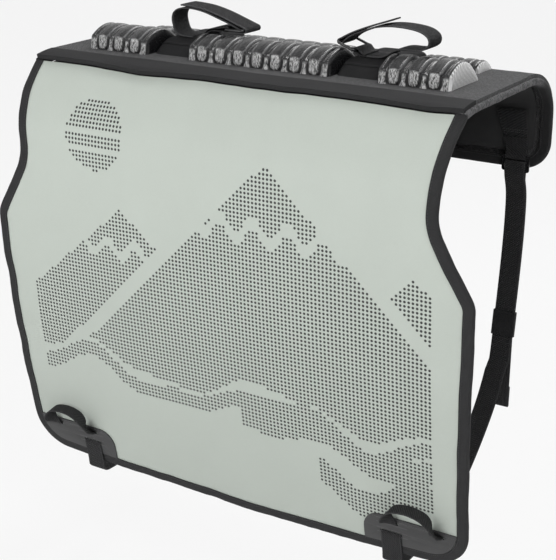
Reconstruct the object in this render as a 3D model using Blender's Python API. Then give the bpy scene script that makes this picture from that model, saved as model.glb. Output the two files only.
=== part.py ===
"""Tailgate bike pad, built as its sewn and moulded pieces.

Metres, +Z up. The pad hangs over a tailgate: the front panel drops down the outside at -Y, the
saddle lies on the top edge, and the rear flap drops down the inside at +Y. The origin is the
middle of the lining's flat underside, which rests on the tailgate.

Every sheet is first cut flat, as on a table: x is across the pad, t runs from the hem up over
the tailgate to the rear edge with t = 0 at the seam, and h is the height above the sheet's
underside. It is then draped over the line that the pad lies on.
"""

import math

import bmesh
import bpy
from mathutils import Matrix, Vector

# Clearance between pieces that touch
CLEARANCE = 0.0003

# The line that the pad lies on, seen from the side
FLAT_DEPTH = 0.160
SHOULDER_RUN = 0.045
SHOULDER_DROP = 0.004
BULGE_OUT = 0.050
BULGE_DOWN = 0.095
HEM_SETBACK = 0.054
DROP = 0.612
REAR_RUN = 0.075
REAR_ROUND = 0.055
FLAP_DROP = 0.133

# Sheets and binding tape
FRONT_THICKNESS = 0.005
SADDLE_THICKNESS = 0.0065
LINING_THICKNESS = 0.0016
LINING_EDGE = 0.023
TAPE_THICKNESS = 0.0012
TAPE_FOLD = 0.015

# Outline of the front panel, as half widths and lengths down from the seam
TOP_HALF = 0.331
WAIST_HALF = 0.322
WAIST_DOWN = 0.137
FLARE_HALF = 0.375
FLARE_DOWN = 0.226
HEM_HALF = 0.364
HEM_BOW = 0.014
WAIST_RADIUS = 0.060
FLARE_RADIUS = 0.032
HEM_RADIUS = 0.058
FLAP_HALF = 0.330
FLAP_RADIUS = 0.040

# Ribbed blocks and the cradle pads between them
CENTRE_BLOCK_HALF = 0.110
SLOT_WIDTH = 0.070
SIDE_BLOCK_WIDTH = 0.100
BLOCK_FRONT = -0.072
BLOCK_LENGTH = 0.100
BLOCK_HEIGHT = 0.038
VALLEY = 0.015
REAR_SIDE_WIDTH = 0.084
REAR_BLOCK_LENGTH = 0.060
REAR_BLOCK_HEIGHT = 0.021
CENTRE_RIBS = 7
SIDE_RIBS = 3
GROOVE_DEPTH = 0.0046
REAR_GROOVE_DEPTH = 0.0032
BLOCK_ROUND = 0.0055
BLOCK_MARGIN = 0.008
CRADLE_FRONT = -0.062
CRADLE_LENGTH = 0.150
CRADLE_HEIGHT = 0.026
CRADLE_SIDE_GAP = 0.0015
CRADLE_ROUND = 0.004

# Hook-and-loop straps, their rings and the rings' tabs
HOOK_STRAP_WIDTH = 0.038
HOOK_STRAP_THICKNESS = 0.002
TAB_THICKNESS = 0.0015
RING_RADIUS = 0.002
RING_PLAY = 0.0015
RING_CORNER = 0.004

# Rear straps, their buckles, anchors and keepers
WEBBING_WIDTH = 0.030
WEBBING_THICKNESS = 0.0016
LAYER_GAP = 0.0005
REAR_STRAP_X = 0.286
HEM_STRAP_X = 0.2545
ANCHOR_TOP_WIDTH = 0.044
ANCHOR_LENGTH = 0.064
ANCHOR_LEAN = 0.014
BUCKLE_ABOVE_EDGE = 0.018
BUCKLE_STANDOFF = 0.010
BUCKLE_THICKNESS = 0.0022
BUCKLE_BAR = 0.0035
BUCKLE_SLOT = 0.006
BUCKLE_CORNER = 0.003
KEEPER_DOWN = 0.349
KEEPER_LENGTH = 0.036
KEEPER_WALL = 0.0012
TAIL_DOWN = 0.375
TAIL_FREE = 0.110
TAIL_FOLD = 0.030
HEM_LOOP = 0.012

# Corner patches and pull handles
PATCH_THICKNESS = 0.002
PATCH_INNER_X = 0.213
PATCH_TOP = 0.067
PATCH_RADIUS = 0.026
SLOT_MARGIN = 0.0015
SLOT_HEIGHT = 0.004
LOWER_SLOT = 0.0420
UPPER_SLOT = 0.0585
HANDLE_WIDTH = 0.020
HANDLE_THICKNESS = 0.002
HANDLE_OUTER_X = 0.3215

# Colour, roughness and metallic value of each material
MATERIALS = {
    "sage_tarpaulin": ((0.52, 0.58, 0.52, 1.0), 0.62, 0.0),
    "binding_tape": ((0.035, 0.035, 0.036, 1.0), 0.80, 0.0),
    "saddle_fabric": ((0.055, 0.055, 0.057, 1.0), 0.70, 0.0),
    "lining": ((0.012, 0.012, 0.013, 1.0), 0.85, 0.0),
    "moulded_foam": ((0.045, 0.045, 0.047, 1.0), 0.38, 0.0),
    "hook_and_loop": ((0.040, 0.040, 0.042, 1.0), 0.85, 0.0),
    "webbing": ((0.022, 0.022, 0.024, 1.0), 0.70, 0.0),
    "black_plastic": ((0.010, 0.010, 0.011, 1.0), 0.25, 0.0),
    "grip_patch": ((0.050, 0.050, 0.052, 1.0), 0.60, 0.0),
}

ARC_STEP = math.radians(15)
DRAPE_Z = LINING_THICKNESS + CLEARANCE
BLOCK_BASE = SADDLE_THICKNESS + CLEARANCE
BLOCK_TOP_Z = DRAPE_Z + BLOCK_BASE + BLOCK_HEIGHT
CRADLE_TOP_Z = DRAPE_Z + BLOCK_BASE + CRADLE_HEIGHT
SLOT_CENTRE_X = CENTRE_BLOCK_HALF + SLOT_WIDTH / 2
PATCH_BASE = FRONT_THICKNESS + CLEARANCE
FLAP_Y = FLAT_DEPTH / 2 + REAR_RUN
BUCKLE_Y = FLAP_Y - BUCKLE_STANDOFF
BUCKLE_Z = DRAPE_Z - FLAP_DROP + BUCKLE_ABOVE_EDGE
BUCKLE_PITCH = BUCKLE_BAR + BUCKLE_SLOT


def drape_line():
    """The line that the pad lies on, from the hem to the rear edge, and the seam's place in it."""
    seam_y = -FLAT_DEPTH / 2 - SHOULDER_RUN
    bulge_y = seam_y - BULGE_OUT
    below = DROP - BULGE_DOWN
    line = []
    for share in (1.0, 0.92, 0.84, 0.75, 0.66, 0.57, 0.48, 0.39, 0.30, 0.21, 0.12, 0.0):
        line.append((bulge_y + HEM_SETBACK * share**2, -BULGE_DOWN - below * share))
    for share in (0.2, 0.4, 0.6, 0.8):
        line.append((seam_y - BULGE_OUT * (1 - share**2), -BULGE_DOWN + (BULGE_DOWN - SHOULDER_DROP) * share))
    seam = len(line)
    for share in (0.0, 0.35, 0.7):
        line.append((seam_y + SHOULDER_RUN * share, -SHOULDER_DROP * (1 - share) ** 2))
    line += [(-FLAT_DEPTH / 2, 0.0), (FLAT_DEPTH / 2, 0.0)]
    for degrees in (18, 34, 50, 66, 80, 90):
        angle = math.radians(degrees)
        line.append(
            (FLAT_DEPTH / 2 + REAR_RUN * math.sin(angle), -REAR_ROUND * (1 - math.cos(angle)))
        )
    line.append((FLAP_Y, -FLAP_DROP))
    return [Vector((y, z + DRAPE_Z)) for y, z in line], seam


def stations():
    """For each point of the drape line: its t, the point, and the step that rises by one unit of h."""
    line, seam = drape_line()
    along = [0.0]
    for start, end in zip(line, line[1:]):
        along.append(along[-1] + (end - start).length)
    found = []
    for i, point in enumerate(line):
        before = (point - line[i - 1]).normalized() if i else (line[1] - point).normalized()
        after = (line[i + 1] - point).normalized() if i + 1 < len(line) else before
        normal = Vector((-before.y, before.x))
        middle = (normal + Vector((-after.y, after.x))).normalized()
        found.append((along[i] - along[seam], point, middle / middle.dot(normal)))
    return found


STATIONS = stations()
HEM_T = STATIONS[0][0]
REAR_T = STATIONS[-1][0]
FLAT_T = next(t for t, point, _ in STATIONS if t > 0 and point.x > -FLAT_DEPTH / 2 - 1e-6)


def side_point(t, h):
    """The (y, z) of a flat-cut place once draped. Past either end the line runs on straight."""
    i = 0
    while i < len(STATIONS) - 2 and t > STATIONS[i + 1][0]:
        i += 1
    (t0, p0, up0), (t1, p1, up1) = STATIONS[i], STATIONS[i + 1]
    share = (t - t0) / (t1 - t0)
    return (p0 + up0 * h).lerp(p1 + up1 * h, share)


def flat_t(y):
    """The t of a place on the flat top, from its y."""
    return FLAT_T + y + FLAT_DEPTH / 2


def new_object(name, bm):
    mesh = bpy.data.meshes.new(name)
    bm.to_mesh(mesh)
    bm.free()
    return bpy.data.objects.new(name, mesh)


def from_curve(name, curve):
    """The welded mesh object of a curve, which is then removed."""
    holder = bpy.data.objects.new(name, curve)
    bpy.context.scene.collection.objects.link(holder)
    graph = bpy.context.evaluated_depsgraph_get()
    mesh = bpy.data.meshes.new_from_object(holder.evaluated_get(graph), depsgraph=graph)
    bpy.data.objects.remove(holder)
    bpy.data.curves.remove(curve)
    bm = bmesh.new()
    bm.from_mesh(mesh)
    bpy.data.meshes.remove(mesh)
    bmesh.ops.remove_doubles(bm, verts=bm.verts, dist=1e-6)
    bmesh.ops.recalc_face_normals(bm, faces=bm.faces)
    return new_object(name, bm)


def plate(name, outlines, low, high):
    """A flat plate between two heights. The first outline is its edge and the others are holes."""
    curve = bpy.data.curves.new(name, "CURVE")
    curve.dimensions = "2D"
    curve.fill_mode = "BOTH"
    curve.extrude = (high - low) / 2
    for outline in outlines:
        spline = curve.splines.new("POLY")
        spline.points.add(len(outline) - 1)
        for point, (x, y) in zip(spline.points, outline):
            point.co = (x, y, 0.0, 1.0)
        spline.use_cyclic_u = True
    obj = from_curve(name, curve)
    obj.data.transform(Matrix.Translation((0, 0, (low + high) / 2)))
    return obj


def wire_loop(name, path, radius):
    """A closed bent wire along the path."""
    curve = bpy.data.curves.new(name, "CURVE")
    curve.dimensions = "3D"
    curve.bevel_depth = radius
    curve.bevel_resolution = 2
    spline = curve.splines.new("POLY")
    spline.points.add(len(path) - 1)
    for point, place in zip(spline.points, path):
        point.co = (*place, 1.0)
    spline.use_cyclic_u = True
    return from_curve(name, curve)


def loft(name, sections):
    """A closed body through matching closed sections, for shapes whose sections differ."""
    bm = bmesh.new()
    rings = [[bm.verts.new(point) for point in section] for section in sections]
    count = len(sections[0])
    for ring, following in zip(rings, rings[1:]):
        for i in range(count):
            j = (i + 1) % count
            bm.faces.new((ring[i], ring[j], following[j], following[i]))
    bm.faces.new(rings[0])
    bm.faces.new(rings[-1])
    bmesh.ops.recalc_face_normals(bm, faces=bm.faces)
    return new_object(name, bm)


def combine(obj, cutter, operation):
    """Cuts or joins the object with the cutter, which is used up."""
    modifier = obj.modifiers.new("Combine", "BOOLEAN")
    modifier.object = cutter
    modifier.operation = operation
    modifier.solver = "EXACT"
    for each in (obj, cutter):
        bpy.context.scene.collection.objects.link(each)
    graph = bpy.context.evaluated_depsgraph_get()
    mesh = bpy.data.meshes.new_from_object(obj.evaluated_get(graph), depsgraph=graph)
    bpy.context.scene.collection.objects.unlink(obj)
    obj.modifiers.clear()
    obj.data = mesh
    bpy.data.objects.remove(cutter)
    return obj


def drape(obj):
    """Creases a flat-cut object at every station inside it and lays it over the drape line."""
    bm = bmesh.new()
    bm.from_mesh(obj.data)
    ends = [v.co.y for v in bm.verts]
    for t, _, _ in STATIONS:
        if min(ends) + 1e-5 < t < max(ends) - 1e-5:
            geometry = bm.verts[:] + bm.edges[:] + bm.faces[:]
            bmesh.ops.bisect_plane(
                bm, geom=geometry, dist=1e-6, plane_co=(0, t, 0), plane_no=(0, 1, 0)
            )
    bmesh.ops.triangulate(bm, faces=bm.faces)
    for v in bm.verts:
        side = side_point(v.co.y, v.co.z)
        v.co = (v.co.x, side.x, side.y)
    bm.to_mesh(obj.data)
    bm.free()
    return obj


def flipped(obj):
    """The object, moved to the other side of the pad."""
    obj.data.transform(Matrix.Scale(-1, 4, (1, 0, 0)))
    obj.data.flip_normals()
    return obj


def both_sides(obj, name):
    """The object on the right and a copy of it on the left, under their own names."""
    obj.name = name + "_right"
    return [obj, flipped(bpy.data.objects.new(name + "_left", obj.data.copy()))]


def smooth_path(points, step):
    """A smooth curve through the points, as a polyline with a point about every step."""
    points = [Vector(point) for point in points]
    last = len(points) - 1
    runs = [(points[i + 1] - points[i]).length for i in range(last)]
    slopes = []
    for i in range(last + 1):
        first = max(i - 1, 0)
        slopes.append((points[min(i + 1, last)] - points[first]) / sum(runs[first:i + 1]))
    path = []
    for i, run in enumerate(runs):
        count = max(1, round(run / step))
        for k in range(count):
            s = k / count
            path.append(
                points[i] * (1 - 3 * s**2 + 2 * s**3)
                + points[i + 1] * (3 * s**2 - 2 * s**3)
                + slopes[i] * run * (s - 2 * s**2 + s**3)
                + slopes[i + 1] * run * (s**3 - s**2)
            )
    path.append(points[-1])
    return path


def offset_path(path, distance):
    """The path moved to its right by the distance, mitred at each point."""
    last = len(path) - 1
    moved = []
    for i, point in enumerate(path):
        before = (point - path[i - 1]).normalized() if i else (path[1] - point).normalized()
        after = (path[i + 1] - point).normalized() if i < last else before
        right = Vector((before.y, -before.x))
        middle = (right + Vector((after.y, -after.x))).normalized()
        moved.append(point + middle * distance / middle.dot(right))
    return moved


def rounded(corners):
    """A path through (x, y, radius) corners, with an arc at each one that has a radius."""
    path = []
    for i, (x, y, radius) in enumerate(corners):
        corner = Vector((x, y))
        if radius == 0:
            path.append(corner)
            continue
        back = (Vector(corners[i - 1][:2]) - corner).normalized()
        ahead = (Vector(corners[(i + 1) % len(corners)][:2]) - corner).normalized()
        half = back.angle(ahead) / 2
        centre = corner + (back + ahead).normalized() * radius / math.sin(half)
        start = corner + back * radius / math.tan(half) - centre
        end = corner + ahead * radius / math.tan(half) - centre
        turn = end.angle_signed(start)
        count = max(2, math.ceil(abs(turn) / ARC_STEP))
        path += [centre + Matrix.Rotation(turn * k / count, 2) @ start for k in range(count + 1)]
    return path


def ellipse(centre, across, up, start, end, count):
    """Points round a centre from one angle to another, in degrees."""
    points = []
    for k in range(count + 1):
        angle = math.radians(start + (end - start) * k / count)
        points.append((centre[0] + across * math.cos(angle), centre[1] + up * math.sin(angle)))
    return points


def strip(name, path, thickness, width):
    """A flat strap seen edge on: the path gives its run, and it is extruded over its width."""
    edge = offset_path(path, thickness / 2) + offset_path(path, -thickness / 2)[::-1]
    return plate(name, [[tuple(point) for point in edge]], -width / 2, width / 2)


def across_x(obj):
    """Turns a strip drawn in (y, z) so that its width lies along X."""
    obj.data.transform(Matrix(((0, 0, 1, 0), (1, 0, 0, 0), (0, 1, 0, 0), (0, 0, 0, 1))))
    return obj


def across_y(obj):
    """Turns a strip drawn in (x, z) so that its width lies along Y."""
    obj.data.transform(Matrix(((1, 0, 0, 0), (0, 0, -1, 0), (0, 1, 0, 0), (0, 0, 0, 1))))
    return obj


def front_edge():
    """The front panel's edge, from the seam at +x down and round the hem to the seam at -x."""
    right = [
        (TOP_HALF, 0.0, 0),
        (WAIST_HALF, -WAIST_DOWN, WAIST_RADIUS),
        (FLARE_HALF, -FLARE_DOWN, FLARE_RADIUS),
        (HEM_HALF, HEM_T + HEM_BOW, HEM_RADIUS),
        (HEM_HALF / 2, HEM_T + HEM_BOW / 4, 0),
    ]
    left = [(-x, t, radius) for x, t, radius in right[::-1]]
    return rounded(right + [(0.0, HEM_T, 0)] + left)


def saddle_edge():
    """The saddle's edge, from the seam at -x over the rear edge to the seam at +x."""
    corners = [
        (-TOP_HALF, 0.0, 0),
        (-FLAP_HALF, FLAT_T + FLAT_DEPTH, 0),
        (-FLAP_HALF, REAR_T, FLAP_RADIUS),
        (FLAP_HALF, REAR_T, FLAP_RADIUS),
        (FLAP_HALF, FLAT_T + FLAT_DEPTH, 0),
        (TOP_HALF, 0.0, 0),
    ]
    return rounded(corners)


def sheet_outline(edge, inset, end_t):
    """The closed outline of a sheet that stays inset from the edge and ends straight at end_t."""
    path = offset_path(edge, inset)
    for end, inner in ((0, 1), (-1, -2)):
        run = path[end] - path[inner]
        path[end] = path[inner] + run * (end_t - path[inner].y) / run.y
    return [tuple(point) for point in path]


def binding(name, edge, thickness, outward):
    """Tape folded over a sheet's edge. outward is -1 below the seam and 1 above it."""
    beyond = outward * -0.05
    skin = CLEARANCE + TAPE_THICKNESS
    seam = outward * CLEARANCE / 2
    body = plate(name, [sheet_outline(edge, 0.0, seam)], -skin, thickness + skin)
    groove = plate(
        "groove",
        [sheet_outline(edge, TAPE_THICKNESS, beyond)],
        -CLEARANCE,
        thickness + CLEARANCE,
    )
    window = plate(
        "window", [sheet_outline(edge, TAPE_FOLD, beyond)], -2 * skin, thickness + 2 * skin
    )
    combine(body, groove, "DIFFERENCE")
    return drape(combine(body, window, "DIFFERENCE"))


def front_panel():
    inset = TAPE_THICKNESS + CLEARANCE
    outline = sheet_outline(front_edge(), inset, -CLEARANCE / 2)
    return drape(plate("front_panel", [outline], 0.0, FRONT_THICKNESS))


def saddle_panel():
    inset = TAPE_THICKNESS + CLEARANCE
    outline = sheet_outline(saddle_edge(), inset, CLEARANCE / 2)
    return drape(plate("saddle_panel", [outline], 0.0, SADDLE_THICKNESS))


def saddle_lining():
    """The smooth lining under the saddle and inside the flap, within the binding's fold."""
    edge = saddle_edge()
    outline = sheet_outline(edge, TAPE_FOLD + CLEARANCE, CLEARANCE / 2)
    body = plate("saddle_lining", [outline], -CLEARANCE - LINING_THICKNESS, -CLEARANCE)
    low, high = REAR_T - LINING_EDGE, REAR_T + LINING_EDGE
    corners = [(-1, low), (1, low), (1, high), (-1, high)]
    below = plate("below_lining", [corners], -SADDLE_THICKNESS, SADDLE_THICKNESS)
    return drape(combine(body, below, "DIFFERENCE"))


# A block's side view as shares of its length and height, and how deep a groove is at each point
BLOCK_SIDE = [
    (0.0, 0.0, 0.0),
    (0.008, 0.16, 0.0),
    (0.018, 0.34, 0.8),
    (0.036, 0.60, 1.0),
    (0.060, 0.70, 1.0),
    (0.14, 0.83, 1.0),
    (0.25, 0.945, 1.0),
    (0.38, 1.0, 1.0),
    (0.53, 0.95, 1.0),
    (0.66, 0.81, 1.0),
    (0.79, 0.57, 1.0),
    (0.91, 0.26, 0.6),
    (1.0, 0.0, 0.0),
]
REAR_BLOCK_SIDE = [
    (0.0, 0.0, 0.0),
    (0.03, 0.38, 0.3),
    (0.10, 0.72, 1.0),
    (0.24, 0.94, 1.0),
    (0.42, 1.0, 1.0),
    (0.62, 0.92, 1.0),
    (0.80, 0.68, 1.0),
    (0.94, 0.32, 0.5),
    (1.0, 0.0, 0.0),
]
CRADLE_SIDE = [
    (0.0, 0.0, 0.0),
    (0.04, 0.22, 0.0),
    (0.10, 0.50, 0.0),
    (0.17, 0.79, 0.0),
    (0.23, 0.95, 0.0),
    (0.275, 1.0, 0.0),
    (0.86, 1.0, 0.0),
    (0.94, 0.84, 0.0),
    (0.985, 0.46, 0.0),
    (1.0, 0.0, 0.0),
]
# Where the sections lie across a rib, as shares of its width, and how deep the groove is there
RIB_STEPS = [(0.0, 1.0), (0.15, 0.34), (0.5, 0.0), (0.85, 0.34)]
END_STEPS = (0.0, 0.28, 0.64)


def hump(name, low_x, width, front_y, size, side, ribs, groove, end_round):
    """A moulded hump on the saddle with ribs from front to back, as a loft across the pad."""
    length, height = size
    margin = BLOCK_MARGIN
    pitch = (width - 2 * margin) / ribs
    steps = [(margin * share, 0.0) for share in END_STEPS]
    for rib in range(ribs):
        steps += [(margin + pitch * (rib + share), depth) for share, depth in RIB_STEPS]
    steps += [(width - margin, 1.0)] + [(width - margin * share, 0.0) for share in END_STEPS[::-1]]
    sections = []
    for place, depth in steps:
        inside = min(place, width - place, margin) / margin
        rounding = end_round * (1 - math.sqrt(1 - (1 - inside) ** 2))
        section = []
        for i, (along, up, weight) in enumerate(side):
            before, after = side[max(i - 1, 0)], side[min(i + 1, len(side) - 1)]
            run = (after[0] - before[0]) * length
            rise = (after[1] - before[1]) * height
            inward = Vector((rise, -run)).normalized() * (rounding + groove * depth * weight)
            t = flat_t(front_y) + along * length + inward.x
            h = BLOCK_BASE + max(up * height + inward.y, 0.0)
            section.append((low_x + place, t, h))
        sections.append(section)
    return drape(loft(name, sections))


def blocks():
    """Two rows of three ribbed blocks, with the bikes' slots between them."""
    rear_y = BLOCK_FRONT + BLOCK_LENGTH + VALLEY
    front = (BLOCK_FRONT, (BLOCK_LENGTH, BLOCK_HEIGHT), BLOCK_SIDE)
    rear = (rear_y, (REAR_BLOCK_LENGTH, REAR_BLOCK_HEIGHT), REAR_BLOCK_SIDE)
    rows = (
        ("front_block", front, SIDE_BLOCK_WIDTH, GROOVE_DEPTH),
        ("rear_block", rear, REAR_SIDE_WIDTH, REAR_GROOVE_DEPTH),
    )
    side_x = CENTRE_BLOCK_HALF + SLOT_WIDTH
    made = []
    for name, shape, side_width, groove in rows:
        centre_width = 2 * CENTRE_BLOCK_HALF
        centre = (-CENTRE_BLOCK_HALF, centre_width, *shape, CENTRE_RIBS, groove, BLOCK_ROUND)
        outer = (side_x, side_width, *shape, SIDE_RIBS, groove, BLOCK_ROUND)
        made.append(hump(name + "_centre", *centre))
        made += both_sides(hump(name, *outer), name)
    return made


def cradle_pads():
    """The soft pads that a bike's frame tube lies on, one in each slot."""
    low_x = CENTRE_BLOCK_HALF + CRADLE_SIDE_GAP
    width = SLOT_WIDTH - 2 * CRADLE_SIDE_GAP
    size = (CRADLE_LENGTH, CRADLE_HEIGHT)
    pad = hump("cradle_pad", low_x, width, CRADLE_FRONT, size, CRADLE_SIDE, 1, 0.0, CRADLE_ROUND)
    return both_sides(pad, "cradle_pad")


def strap_loops():
    """Where each side's strap runs, outward from the slot's centre and up from the origin."""
    edge, pad, top = SLOT_WIDTH / 2, CRADLE_TOP_Z + CLEARANCE, BLOCK_TOP_Z
    lying = pad + HOOK_STRAP_THICKNESS / 2
    right = {
        "strap_bar": (-edge - 0.0125, top + 0.0050),
        "tab_bar": (-edge + 0.0115, pad + 0.0076),
        "out": [
            (0.0280 - edge, lying),
            (edge - 0.028, lying),
            (edge - 0.020, lying + 0.0010),
            (edge - 0.011, lying + 0.0055),
            (edge - 0.003, top - 0.0002),
            (edge + 0.007, top + 0.0023),
            (edge + 0.023, top + 0.0026),
            (edge + 0.0365, top + 0.0045),
            (edge + 0.0450, top + 0.0110),
            (edge + 0.0445, top + 0.0195),
            (edge + 0.0350, top + 0.0262),
            (edge + 0.017, top + 0.0298),
            (edge - 0.008, top + 0.0305),
            (edge - 0.030, top + 0.0275),
            (edge - 0.048, top + 0.0215),
            (edge - 0.068, top + 0.0128),
        ],
        "back": [
            (edge - 0.068, top + 0.0163),
            (edge - 0.050, top + 0.0240),
            (edge - 0.032, top + 0.0304),
            (edge - 0.022, top + 0.0336),
            (edge - 0.013, top + 0.0368),
        ],
        "tab_out": [
            (-edge + 0.026, 0.0),
            (-edge + 0.0215, 0.0001),
            (-edge + 0.0180, 0.0008),
            (-edge + 0.0150, 0.0022),
        ],
        "tab_back": [
            (-edge + 0.0148, 0.0090),
            (-edge + 0.0174, 0.0060),
            (-edge + 0.0200, 0.0037),
            (-edge + 0.0230, 0.0024),
            (-edge + 0.026, 0.0020),
        ],
    }
    left = {
        "strap_bar": (-edge - 0.058, top + 0.0052),
        "tab_bar": (-edge - 0.030, top + 0.0047),
        "out": [
            (0.0280 - edge, lying),
            (edge - 0.028, lying),
            (edge - 0.020, lying + 0.0010),
            (edge - 0.0135, lying + 0.0045),
            (edge - 0.0095, top + 0.0035),
            (edge - 0.0080, top + 0.0125),
            (edge - 0.0105, top + 0.0205),
            (edge - 0.019, top + 0.0262),
            (edge - 0.038, top + 0.0285),
            (edge - 0.060, top + 0.0262),
            (edge - 0.083, top + 0.0197),
            (edge - 0.108, top + 0.0112),
        ],
        "back": [
            (edge - 0.110, top + 0.0147),
            (edge - 0.085, top + 0.0230),
            (edge - 0.060, top + 0.0291),
            (edge - 0.040, top + 0.0314),
            (edge - 0.024, top + 0.0322),
        ],
        "tab_out": [
            (-edge + 0.020, 0.0),
            (-edge + 0.0125, 0.0001),
            (-edge + 0.0075, 0.0017),
            (-edge + 0.0035, 0.0056),
            (-edge, 0.0096),
            (-edge - 0.0060, 0.0120),
            (-edge - 0.0175, 0.0123),
        ],
        "tab_back": [
            (-edge - 0.0175, 0.0165),
            (-edge - 0.0060, 0.0150),
            (-edge + 0.0012, 0.0124),
            (-edge + 0.0056, 0.0082),
            (-edge + 0.0098, 0.0042),
            (-edge + 0.0140, 0.0022),
            (-edge + 0.020, 0.0020),
        ],
    }
    return {"right": right, "left": left}


def ring_wrap(bar, thickness, start, end):
    """The run of a strap of that thickness round a ring's bar."""
    reach = RING_RADIUS + CLEARANCE + thickness / 2
    return ellipse(bar, reach, reach, start, end, 6)


def place_on_side(obj, side):
    """Moves a piece drawn about a slot's centre to its side of the pad."""
    obj.data.transform(Matrix.Translation((SLOT_CENTRE_X, 0, 0)))
    return obj if side == "right" else flipped(obj)


def hook_strap(side, loop):
    """Sewn to its cradle pad, it curls over, turns round the ring's bar and closes on itself."""
    wrap = ring_wrap(loop["strap_bar"], HOOK_STRAP_THICKNESS, -50, -265)
    path = smooth_path(loop["out"] + wrap + loop["back"], 0.006)
    obj = across_y(strip("hook_strap_" + side, path, HOOK_STRAP_THICKNESS, HOOK_STRAP_WIDTH))
    return place_on_side(obj, side)


def ring_tab(side, loop):
    """A short webbing loop that holds the ring to the cradle pad."""
    lying = CRADLE_TOP_Z + CLEARANCE + TAB_THICKNESS / 2
    out = [(x, lying + up) for x, up in loop["tab_out"]]
    back = [(x, lying + up) for x, up in loop["tab_back"]]
    wrap = ring_wrap(loop["tab_bar"], TAB_THICKNESS, -90, -270)
    path = smooth_path(out + wrap + back, 0.004)
    obj = across_y(strip("ring_tab_" + side, path, TAB_THICKNESS, HOOK_STRAP_WIDTH))
    return place_on_side(obj, side)


def strap_ring(side, loop):
    """The bent wire ring that the hook strap turns back through."""
    strap_bar, tab_bar = Vector(loop["strap_bar"]), Vector(loop["tab_bar"])
    half = HOOK_STRAP_WIDTH / 2 + RING_PLAY + RING_RADIUS
    depth = (tab_bar - strap_bar).length
    corners = [(0, -half), (0, half), (depth, half), (depth, -half)]
    across = (tab_bar - strap_bar).normalized()
    path = []
    for along, y in rounded([(x, y, RING_CORNER) for x, y in corners]):
        place = strap_bar + across * along
        path.append((place.x, y, place.y))
    return place_on_side(wire_loop("strap_ring_" + side, path, RING_RADIUS), side)


def rounded_box(width, height, radius):
    """A rounded rectangle about the origin."""
    x, y = width / 2, height / 2
    corners = [(x, y), (-x, y), (-x, -y), (x, -y)]
    return [tuple(p) for p in rounded([(a, b, radius) for a, b in corners])]


# Half of a pull handle: share of its half span, height over its slot, lift over the patch's
# underside, and share of a quarter turn
HANDLE_STEPS = [
    (1.0, 0.0, 0.0012, 0.0),
    (1.0, 0.0003, 0.0032, 0.0),
    (1.0, 0.0030, 0.0062, 0.08),
    (1.01, 0.0085, 0.0095, 0.30),
    (1.02, 0.0160, 0.0135, 0.62),
    (0.93, 0.0260, 0.0150, 0.88),
    (0.72, 0.0345, 0.0155, 1.0),
    (0.38, 0.0390, 0.0155, 1.0),
    (0.0, 0.0405, 0.0155, 1.0),
]


def moved(outline, x, y):
    return [(a + x, b + y) for a, b in outline]


def corner_patch():
    """The grip patch at a lower corner, with slots for the strap's end and the handle's feet."""
    reach = TAPE_FOLD + CLEARANCE
    window = sheet_outline(front_edge(), reach, 0.0)
    low, high = PATCH_BASE, PATCH_BASE + PATCH_THICKNESS
    body = plate("corner_patch", [window], low, high)
    top = HEM_T + PATCH_TOP
    keep = rounded(
        [
            (PATCH_INNER_X, HEM_T - 0.05, 0),
            (PATCH_INNER_X, top, PATCH_RADIUS),
            (FLARE_HALF, top, 0),
            (FLARE_HALF, HEM_T - 0.05, 0),
        ]
    )
    kept = plate("kept", [[tuple(p) for p in keep]], low - CLEARANCE, high + CLEARANCE)
    combine(body, kept, "INTERSECT")
    slot = rounded_box(WEBBING_WIDTH + 2 * SLOT_MARGIN, SLOT_HEIGHT, SLOT_HEIGHT / 2.1)
    foot = rounded_box(HANDLE_WIDTH + 2 * SLOT_MARGIN, SLOT_HEIGHT, SLOT_HEIGHT / 2.1)
    for outline, x, up in (
        (slot, HEM_STRAP_X, LOWER_SLOT),
        (foot, HEM_STRAP_X, UPPER_SLOT),
        (foot, HANDLE_OUTER_X, UPPER_SLOT),
    ):
        hole = plate("hole", [moved(outline, x, HEM_T + up)], low - CLEARANCE, high + CLEARANCE)
        combine(body, hole, "DIFFERENCE")
    return both_sides(drape(body), "corner_patch")


def pull_handle():
    """A webbing loop that stands in two slots of the patch and is turned on edge at its top."""
    middle = (HEM_STRAP_X + HANDLE_OUTER_X) / 2
    half_span = (HANDLE_OUTER_X - HEM_STRAP_X) / 2
    places = []
    for out, up, lift, _ in HANDLE_STEPS:
        places.append(Vector((middle + half_span * out, HEM_T + UPPER_SLOT + up, PATCH_BASE + lift)))
    places += [Vector((2 * middle - p.x, p.y, p.z)) for p in places[-2::-1]]
    turns = [turn for _, _, _, turn in HANDLE_STEPS]
    turns += turns[-2::-1]
    sections = []
    for i, (place, turn) in enumerate(zip(places, turns)):
        run = (places[min(i + 1, len(places) - 1)] - places[max(i - 1, 0)]).normalized()
        outward = Vector((run.y, -run.x, 0)).normalized()
        angle = math.pi / 2 * turn
        wide = outward * math.cos(angle) + outward.cross(run) * math.sin(angle)
        wide *= HANDLE_WIDTH / 2
        thin = wide.cross(run).normalized() * HANDLE_THICKNESS / 2
        corners = [wide + thin, thin - wide, -wide - thin, wide - thin]
        sections.append([place + corner for corner in corners])
    return both_sides(drape(loft("pull_handle", sections)), "pull_handle")


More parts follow.
